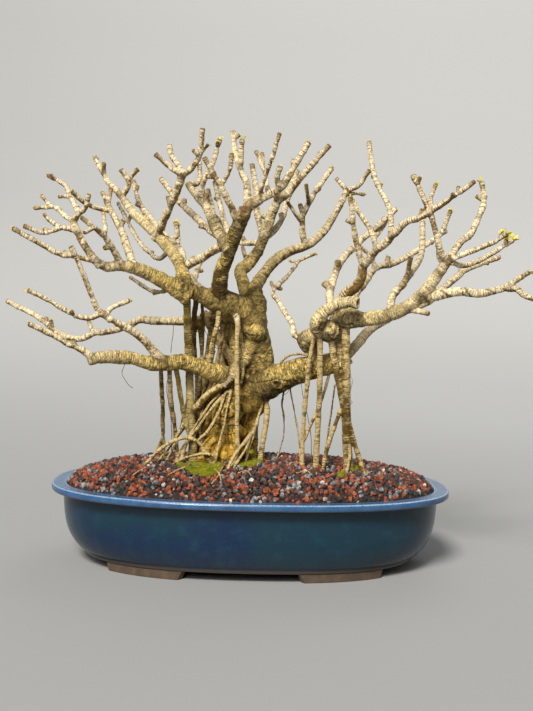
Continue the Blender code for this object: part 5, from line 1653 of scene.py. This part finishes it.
def stoneFinish(name, first, second, pore, rough):
    make = Finish(name)
    each = make.noise(210.0, 1.0)
    pores = make.noise(750.0, 4.0, 0.75)
    colour = make.layered(first, (each.step(0.41, 0.59), second), (pores.step(0.50, 0.60) * 0.8, pore))
    return make.done(Base_Color=colour, Roughness=rough, Normal=make.bump(pores + each * 0.5, 0.9 * mm))


def stoneTree():
    # stones of one kind: those points whose lot falls between low and high
    smallest, largest = gravel["sizes"]
    tree = NodeTree("gravel", spread=gravel["spread"], seed=0, low=0.0, high=1.0, finish=None)
    scatter = tree.scattered(60000.0)
    lot = tree.random(0.0, 1.0, tree.input("seed"))
    chosen = tree.node("FunctionNodeBooleanMath", {"operation": "AND"}, {
        0: tree.compare(lot, "LESS_THAN", tree.input("high")),
        1: tree.compare(lot, "GREATER_EQUAL", tree.input("low"))})
    shapes = collected("stones", [stoneShape(seed) for seed in range(gravel["shapes"])])
    tree.plant(shapes, scatter.outputs["Points"], Selection=chosen.outputs[0],
               Rotation=tree.spin((math.tau, math.tau, math.tau), 7),
               Scale=tree.times(tree.random(smallest, largest, 3), gravel["stone"]))
    return tree


gravelTree = stoneTree()
beds = [newObject(name, *ringSkin(moundRings(pot["soilInset"] + inset, lift), foot=False))
        for name, (inset, lift) in gravel["beds"].items()]
lowest = 0.0
for name, (share, *look) in gravel["kinds"].items():
    finish = stoneFinish(name, *look)
    layers = [gravelTree.grow(f"{name}{layer}", bed, low=lowest, high=lowest + share,
                              seed=gravel["seed"] + layer, finish=finish) for layer, bed in enumerate(beds)]
    stones = joined(name, layers)
    seat(stones, "soil", "soil")
    print(f"{name}: {len(stones.data.polygons)} faces")
    lowest += share
for bed in beds:
    discard(bed)


# moss on the soil
moss = {
    "patches": (  # how many clumps a patch has, and its outline as columns and rows
        (260, ((186, 470), (192, 464), (203, 461), (214, 463), (222, 468), (219, 474), (209, 478),
               (196, 477))),
        (220, ((235, 464), (240, 456), (250, 454), (260, 456), (263, 462), (254, 468), (243, 469))),
        (26, ((350, 470), (354, 467), (358, 468), (358, 471), (352, 473))),
        (14, ((338, 476), (342, 474), (346, 476), (342, 479))),
        (16, ((176, 467), (181, 465), (186, 468), (181, 471))),
    ),
    "clump": (2.4 * mm, 4.6 * mm), "flat": 0.55, "lift": 2.2 * mm, "seed": 3, "voxel": 1.1 * mm,
    "tufts": 1.3 * mm, "tuft": 1.9 * mm,  # least distance between tufts, and their height
}


def insideOutline(column, row, outline):
    inside = False
    for (left, top), (right, low) in zip(outline, outline[1:] + outline[:1]):
        if (top > row) != (low > row) and column < (right - left) * (row - top) / (low - top) + left:
            inside = not inside
    return inside


def mossClumps():
    # flattened balls that lie on the soil inside the outlines
    chance = random.Random(moss["seed"])
    ball = bmesh.new()
    bmesh.ops.create_icosphere(ball, subdivisions=2, radius=1.0)
    corners = np.array([tuple(vertex.co) for vertex in ball.verts])
    skin = [[vertex.index for vertex in face.verts] for face in ball.faces]
    ball.free()
    clumps = []
    for count, outline in moss["patches"]:
        columns, rows = zip(*outline)
        wanted = len(clumps) + count
        while len(clumps) < wanted:
            column, row = chance.uniform(min(columns), max(columns)), chance.uniform(min(rows), max(rows))
            size = chance.uniform(*moss["clump"])
            if insideOutline(column, row, outline):
                middle = groundAt(column, row) + np.array([0, 0, moss["lift"]])
                clumps.append((middle + corners * np.array([size, size, size * moss["flat"]]), skin))
    return together(clumps)


def mossFinish(name, young, old, deep):
    make = Finish(name)
    broad = make.noise(70.0, 3.0)
    fuzz = make.noise(900.0, 3.0, 0.7)
    colour = make.layered(old, (broad.step(0.38, 0.62), young), (fuzz.step(0.55, 0.36) * 0.8, deep))
    return make.done(Base_Color=colour, Roughness=0.85, Specular_IOR_Level=0.2,
                     Normal=make.bump(fuzz + broad, 1.2 * mm))


def spike(builder, foot, tip, girth):
    # a slender three-sided blade
    foot, tip = Vector(foot), Vector(tip)
    ahead = (tip - foot).normalized()
    first = ahead.orthogonal().normalized() * girth
    second = ahead.cross(first)
    ring = [builder.verts.new(foot + first * math.cos(turn) + second * math.sin(turn))
            for turn in (0, math.tau / 3, math.tau * 2 / 3)]
    end = builder.verts.new(tip)
    for index in range(3):
        builder.faces.new((ring[index], ring[(index + 1) % 3], end))
    builder.faces.new(ring[::-1])


def tuftShape(seed):
    chance = random.Random(seed)
    builder = bmesh.new()
    for index in range(5):
        turn = index * math.tau / 5 + chance.uniform(-0.4, 0.4)
        lean = chance.uniform(0.15, 0.8)
        tip = (lean * math.cos(turn), lean * math.sin(turn), chance.uniform(0.7, 1.1))
        spike(builder, (0.12 * math.cos(turn), 0.12 * math.sin(turn), -0.2), tip, 0.14)
    return shapeFrom(builder, f"tuft{seed}")


def tuftTree():
    # tufts on those faces of the pad that look upwards
    tree = NodeTree("moss", spread=moss["tufts"], seed=2, finish=None)
    normal = tree.node("GeometryNodeInputNormal").outputs[0]
    upright = tree.node("ShaderNodeSeparateXYZ", values={0: normal}).outputs["Z"]
    scatter = tree.scattered(900000.0, Selection=tree.compare(upright, "GREATER_THAN", 0.15))
    size = tree.times(tree.random(0.5, 1.15, 4), moss["tuft"])
    tree.plant(collected("tufts", [tuftShape(seed) for seed in range(4)]), scatter.outputs["Points"],
               Rotation=scatter.outputs["Rotation"], Scale=size)
    return tree


mossMesh = remeshed(newObject("mossPad", *mossClumps()), moss["voxel"])
mossPoints, _ = meshArrays(mossMesh)
unevenness = 0.5 * mm * softNoise(mossPoints, 3.5 * mm, 41) + 0.3 * mm * softNoise(mossPoints, 1.8 * mm, 42)
mossPoints[:, 2] += unevenness
mossMesh.vertices.foreach_set("co", mossPoints.ravel())
padGreen = mossFinish("mossPad", (0.20, 0.20, 0.008), (0.13, 0.15, 0.006), (0.035, 0.042, 0.003))
mossMesh.materials.append(padGreen)
mossMesh.shade_smooth()
mossPad = linked("mossPad", mossMesh)
tuftGreen = mossFinish("mossTufts", (0.36, 0.33, 0.018), (0.20, 0.22, 0.010), (0.07, 0.08, 0.004))
mossTufts = joined("mossTufts", [tuftTree().grow("mossTufts", mossPad, finish=tuftGreen)])
seat(mossPad, "moss", "moss")
seat(mossTufts, "moss", "moss")
print(f"moss: {len(mossPad.data.polygons) * 2} and {len(mossTufts.data.polygons)} triangles")


# buds at the tips, and seedlings on the soil
def leafInto(builder, tip, width, rise):
    # a closed pointed leaf from the origin to its tip
    tip = Vector(tip)
    out = tip.normalized()
    across = out.cross(Vector((0.0, 0.0, 1.0)))
    across = (across if across.length > 0.05 else Vector((1.0, 0.0, 0.0))).normalized()
    above = across.cross(out).normalized()
    middle = tip * 0.45 + Vector((0.0, 0.0, rise))
    foot, end = builder.verts.new(-out * 0.05), builder.verts.new(tip)
    left, right = builder.verts.new(middle - across * width), builder.verts.new(middle + across * width)
    top = builder.verts.new(middle + above * width * 0.25)
    low = builder.verts.new(middle - above * width * 0.25)
    for first, second in ((left, top), (top, right), (right, low), (low, left)):
        builder.faces.new((foot, first, second))
        builder.faces.new((end, second, first))
    bmesh.ops.recalc_face_normals(builder, faces=builder.faces[:])


def leafShape(name, leaves):
    builder = bmesh.new()
    for leaf in leaves:
        leafInto(builder, *leaf)
    return shapeFrom(builder, name)


leafKinds = {  # the leaves of each shape: tip, width and how far the middle rises
    "bud0": (((0.05, 0.0, 1.0), 0.30, 0.0), ((0.25, 0.1, 0.7), 0.22, 0.1), ((-0.2, 0.2, 0.75), 0.22, 0.1)),
    "bud1": (((0.5, 0.1, 0.9), 0.26, 0.1), ((-0.45, 0.2, 0.8), 0.24, 0.1), ((0.0, -0.4, 0.7), 0.20, 0.1)),
    "bud2": (((0.8, 0.0, 0.55), 0.25, 0.1), ((-0.75, 0.1, 0.6), 0.25, 0.1), ((0.0, 0.0, 0.9), 0.25, 0.0)),
    "leaf0": (((0.9, 0.1, 0.55), 0.36, 0.15), ((-0.85, 0.2, 0.6), 0.34, 0.15), ((0.1, 0.8, 0.7), 0.3, 0.1),
              ((0.0, -0.8, 0.75), 0.3, 0.1), ((0.1, 0.0, 1.1), 0.12, 0.0)),
}


def budTree(name, kind):
    # a shape at each point, turned to the point's aim and as large as its share of the size
    tree = NodeTree(name, size=1.0 * mm, seed=0, finish=None)
    aimed = tree.node("FunctionNodeAlignRotationToVector", {"axis": "Z"}, {
        "Vector": tree.named("aim", "FLOAT_VECTOR")})
    turned = tree.node("FunctionNodeRotateRotation", {"rotation_space": "LOCAL"}, {
        "Rotation": aimed.outputs[0], "Rotate By": tree.spin((0.0, 0.0, math.tau), tree.input("seed"))})
    shapes = [leafShape(key, leaves) for key, leaves in leafKinds.items() if key.startswith(kind)]
    tree.plant(collected(name + "Shapes", shapes), tree.input("Geometry"), Rotation=turned.outputs[0],
               Scale=tree.times(tree.named("share"), tree.input("size")))
    return tree


def tipPoints(name, places, aims, shares):
    item = newObject(name, places, [])
    layer = item.data.attributes.new("aim", "FLOAT_VECTOR", "POINT")
    layer.data.foreach_set("vector", np.array(aims, dtype=np.float32).ravel())
    addAttribute(item.data, "share", shares)
    return item


buds = {
    "size": 3.3 * mm, "seed": 8, "share": 0.75,  # of the tips that carry a bud
    "large": (  # tips with opened buds, and how much larger they are
        (247, 140, 1.6), (223, 142, 1.6), (362, 148, 1.8), (508, 234, 2.6), (513, 240, 2.6), (481, 182, 2.1),
        (181, 225, 1.8), (262, 208, 1.6), (313, 148, 1.6), (53, 322, 1.6), (436, 184, 1.8), (451, 210, 1.8),
        (129, 181, 1.5), (95, 158, 1.3), (12, 228, 1.3), (28, 290, 1.3), (130, 300, 1.6), (315, 254, 1.5),
        (396, 209, 1.8), (364, 195, 1.6), (529, 272, 2.2), (332, 168, 1.6), (350, 197, 1.6), (421, 217, 1.5),
    ),
    "reach": 7,  # squares from such a place within which a tip counts
}


def budPlaces():
    chance = random.Random(buds["seed"])
    places, aims, shares = [], [], []
    for twigs, spurs in grown.values():
        for item in (*twigs, *spurs):
            tip, ahead = item.points[-1], item.alongs[-1]
            (tipColumn,), (tipRow,) = seenAt(tip[None])
            bigger = max((size for column, row, size in buds["large"]
                          if math.hypot(column - tipColumn, row - tipRow) < buds["reach"]), default=1.0)
            lucky = chance.random() < buds["share"] or bigger > 1
            if not lucky or not insideBox(tip, buds["size"] * bigger + 1.5 * mm):
                chance.random()
                continue
            for _ in range(3 if bigger > 1 else chance.choice((1, 1, 2))):
                outward = np.array([chance.uniform(-1, 1) for _ in range(3)])
                outward -= ahead * (outward @ ahead)
                outward /= np.linalg.norm(outward)
                inner = chance.uniform(0.1, 0.75)
                back = chance.choice((0.0, 0.0, 2.0, 4.0)) * mm if inner > 0.6 else 0.0
                onTwig = outward * item.radii[-1] * (0.95 if back else inner)
                places.append(tip + onTwig - ahead * (back + 0.3 * mm))
                aims.append(ahead * (0.4 if back else 1.0) + outward * 0.6 + np.array([0, 0, 0.2]))
                shares.append(chance.uniform(0.6, 1.1) * bigger)
    return places, aims, shares


def leafFinish(name, young, old, base):
    make = Finish(name)
    mottle = make.noise(320.0, 3.0, 0.6)
    fine = make.noise(1100.0, 2.0)
    colour = make.layered(old, (mottle.step(0.36, 0.6), young), (fine.step(0.58, 0.66) * 0.5, base))
    return make.done(Base_Color=colour, Roughness=0.5 + mottle * 0.3, Specular_IOR_Level=0.35,
                     Normal=make.bump(mottle, 0.3 * mm, 0.6))


tips = tipPoints("tips", *budPlaces())
budGreen = leafFinish("budGreen", (0.72, 0.62, 0.06), (0.48, 0.40, 0.035), (0.26, 0.15, 0.02))
budPiece = joined("buds", [budTree("buds", "bud").grow(
    "buds", tips, size=buds["size"], seed=3, finish=budGreen)])
discard(tips)
seat(budPiece, "twig")

seedlings = {
    "size": 4.2 * mm,
    "places": (  # column, row and share of the size
        (167, 462, 0.9), (184, 471, 1.2), (186, 468, 0.8), (163, 464, 0.7), (296, 463, 0.5), (254, 470, 0.5)),
}
spots = [groundAt(column, row) + np.array([0, 0, 1.5 * mm]) for column, row, _ in seedlings["places"]]
seedlingShares = [share for *_, share in seedlings["places"]]
starts = tipPoints("starts", spots, [(0.1, -0.2, 1.0)] * len(spots), seedlingShares)
seedlingGreen = leafFinish("seedlingGreen", (0.30, 0.48, 0.05), (0.16, 0.30, 0.03), (0.08, 0.16, 0.02))
seedlingPiece = joined("seedlings", [budTree("seedlings", "leaf").grow(
    "seedlings", starts, size=seedlings["size"], seed=5, finish=seedlingGreen)])
discard(starts)
seat(seedlingPiece, "moss")

hairs = (  # fine roots and fibres: radius in mm, places
    (0.42, ((174, 322, 34), (173, 334, 33), (172, 343, 32), (171, 353, 31))),
    (0.38, ((127, 359, -66), (124, 366, -68), (122, 373, -68), (125, 380, -67), (129, 385, -66),
            (133, 388, -66))),
    (0.30, ((286, 378, -4), (290, 384, -8), (288, 392, -8), (284, 395, -6))),
    (0.30, ((346, 372, -60), (352, 380, -63), (350, 392, -62), (345, 404, -58))),
    (0.34, ((205, 330, 0), (212, 344, -6), (222, 352, -10), (230, 360, -12))),
    (0.34, ((189, 386, -20), (196, 398, -24), (199, 414, -24), (196, 432, -20))),
    (0.30, ((345, 398, -57), (352, 402, -60), (349, 405, -60), (343, 404, -57))),
    (0.45, ((168, 372, -40), (167, 392, -28), (171, 420, -6), (172, 466, 12))),
    (0.45, ((228, 374, -20), (232, 392, -26), (227, 420, -34), (226, 440, -40))),
    (0.42, ((252, 402, -6), (246, 420, -18), (240, 440, -32), (238, 462, -40))),
    (0.40, ((298, 358, -18), (300, 372, -20), (303, 396, -24), (310, 430, -28), (312, 470, -30))),
)
straws = (  # loose pieces of root on the gravel: radius in mm, height above the soil in mm, columns and rows
    (0.75, 3.5, ((228, 461), (222, 471), (217, 480), (212, 487))),
    (0.85, 4.0, ((214, 472), (219, 477), (221, 484))),
    (0.65, 3.5, ((168, 478), (180, 472), (192, 470), (203, 470))),
    (0.60, 3.5, ((146, 470), (139, 474), (133, 478))),
    (0.55, 3.5, ((238, 476), (246, 474), (251, 478))),
    (0.55, 3.5, ((296, 476), (306, 474), (312, 478))),
    (0.50, 3.5, ((364, 479), (368, 476), (372, 474))),
)
fibreTree = NodeTree("fibres", finish=None)
threads = fibreTree.node("GeometryNodeMeshToCurve", values={"Mesh": fibreTree.input("Geometry")})
section = fibreTree.node("GeometryNodeCurvePrimitiveCircle", {"mode": "RADIUS"}, {
    "Resolution": 6, "Radius": 1.0})
tubes = fibreTree.node("GeometryNodeCurveToMesh", values={
    "Curve": threads.outputs[0], "Profile Curve": section.outputs[0], "Scale": fibreTree.named("girth"),
    "Fill Caps": True})
fibreTree.finish(tubes.outputs[0])


def threadObject(name, routes):
    # polylines with a girth, for the fibre tree
    points, edges, girths = [], [], []
    for radius, places in routes:
        line = smoothRoute(places, 1.6 * mm)
        wobble = np.stack([softNoise(line, 9 * mm, seed) for seed in (51, 52, 53)], axis=1)
        edges += [(len(points) + index, len(points) + index + 1) for index in range(len(line) - 1)]
        points += list(line + wobble * 0.5 * mm)
        girths += list(radius * mm * (1 + 0.25 * softNoise(line, 5 * mm, 54)))
    item = newObject(name, points, [], edges=edges)
    addAttribute(item.data, "girth", girths)
    return item


def fibreFinish(name, main, dark):
    make = Finish(name)
    mottle = make.noise(420.0, 3.0, 0.7)
    return make.done(Base_Color=make.mix(mottle.step(0.36, 0.62), dark, main), Roughness=0.7 + mottle * 0.2,
                     Specular_IOR_Level=0.25, Normal=make.bump(mottle, 0.3 * mm, 0.7))


hairRoutes = [(radius, [placeOf(place) for place in places]) for radius, places in hairs]
strawRoutes = [(radius, [groundAt(*place) + np.array([0, 0, lift * mm]) for place in places])
               for radius, lift, places in straws]
for name, routes, finish in (
    ("hairRoots", hairRoutes, fibreFinish("hairRoot", (0.16, 0.095, 0.035), (0.05, 0.03, 0.012))),
    ("looseRoots", strawRoutes, fibreFinish("looseRoot", (0.62, 0.44, 0.20), (0.26, 0.15, 0.05))),
):
    lines = threadObject(name + "Threads", routes)
    fibres = joined(name, [fibreTree.grow(name, lines, finish=finish)])
    discard(lines)
    fibres.data.shade_smooth()
    seat(fibres, "bark")
print("moss, buds and fibres done")

# camera, floor and light
view = {"lens": 50.6329, "sensor": 36, "shift": (-0.0016, -0.0612)}
camera = linked("camera", bpy.data.cameras.new("camera"))
camera.data.lens = view["lens"]
camera.data.sensor_width = view["sensor"]
camera.data.shift_x, camera.data.shift_y = view["shift"]
camera.matrix_world = Matrix((
    (leanCos, -leanSin, 0, elevation["eyeAcross"] + potMiddle[0]),
    (0, 0, -1, potMiddle[1] - elevation["eyeDistance"]),
    (leanSin, leanCos, 0, eyeHeight),
    (0, 0, 0, 1),
))
bpy.context.scene.camera = camera

bowl = {  # flat under the pot, rising far away all round
    "steps": 96,
    "rings": (  # radius and height
        (0.02, 0), (0.6, 0), (1.3, 0), (2.0, 0), (2.6, 0.04), (3.1, 0.16), (3.5, 0.38), (3.8, 0.72),
        (4.0, 1.2), (4.1, 1.8), (4.13, 2.4)),
    "floor": (0.245, 0.249, 0.248), "wall": (0.325, 0.331, 0.332), "high": (0.42, 0.424, 0.422),
}


def bowlFinish():
    make = Finish("paleFloor")
    far = make.node("ShaderNodeVectorMath", {"operation": "LENGTH"}, {0: make.place}, output="Value")
    # painted light: paler towards the far wall and up it, to even out the light that floor and wall get
    colour = make.layered(bowl["floor"], (far.step(0.5, 3.4), bowl["wall"]),
                          (make.height().step(0.9, 2.3), bowl["high"]))
    return make.done(Base_Color=colour, Roughness=0.9)


around = np.arange(bowl["steps"]) * math.tau / bowl["steps"]
circle = np.stack([np.cos(around), np.sin(around), np.zeros(len(around))], axis=1)
bowlRings = [circle * radius + np.array([0, 0, height]) for radius, height in bowl["rings"]]
bowlPoints, bowlFaces = ringSkin(bowlRings, top=False)
floor = newObject("floor", bowlPoints, [list(reversed(face)) for face in bowlFaces], bowlFinish())
floor.data.shade_smooth()

sunlight = {
    "power": 5.0, "angle": math.radians(16), "colour": (1.0, 0.965, 0.91), "towards": (0.20, 0.68, -0.70),
}
areas = {  # place, size, power and colour
    "back": ((0.6, 1.9, 1.7), (1.6, 1.2), 14, (0.97, 0.98, 1.0)),
    "front": ((-0.7, -2.1, 1.2), (1.4, 1.0), 27, (1.0, 0.975, 0.94)),
}
sky = {"colour": (0.95, 0.95, 0.94, 1.0), "strength": 0.29}
treeMiddle = Vector((0.0, 0.0, 0.25))


def lightItem(name, kind, power, colour, towards):
    item = linked(name, bpy.data.lights.new(name, kind))
    item.data.energy = power
    item.data.color = colour
    item.rotation_euler = Vector(towards).to_track_quat("-Z", "Y").to_euler()
    return item


sun = lightItem("key", "SUN", sunlight["power"], sunlight["colour"], sunlight["towards"])
sun.data.angle = sunlight["angle"]
for name, (place, size, power, colour) in areas.items():
    area = lightItem(name, "AREA", power, colour, treeMiddle - Vector(place))
    area.data.shape = "RECTANGLE"
    area.data.size, area.data.size_y = size
    area.location = place
world = bpy.data.worlds.new("sky")
world.use_nodes = True
world.node_tree.nodes["Background"].inputs["Color"].default_value = sky["colour"]
world.node_tree.nodes["Background"].inputs["Strength"].default_value = sky["strength"]
bpy.context.scene.world = world
bpy.context.scene.view_settings.view_transform = "Standard"
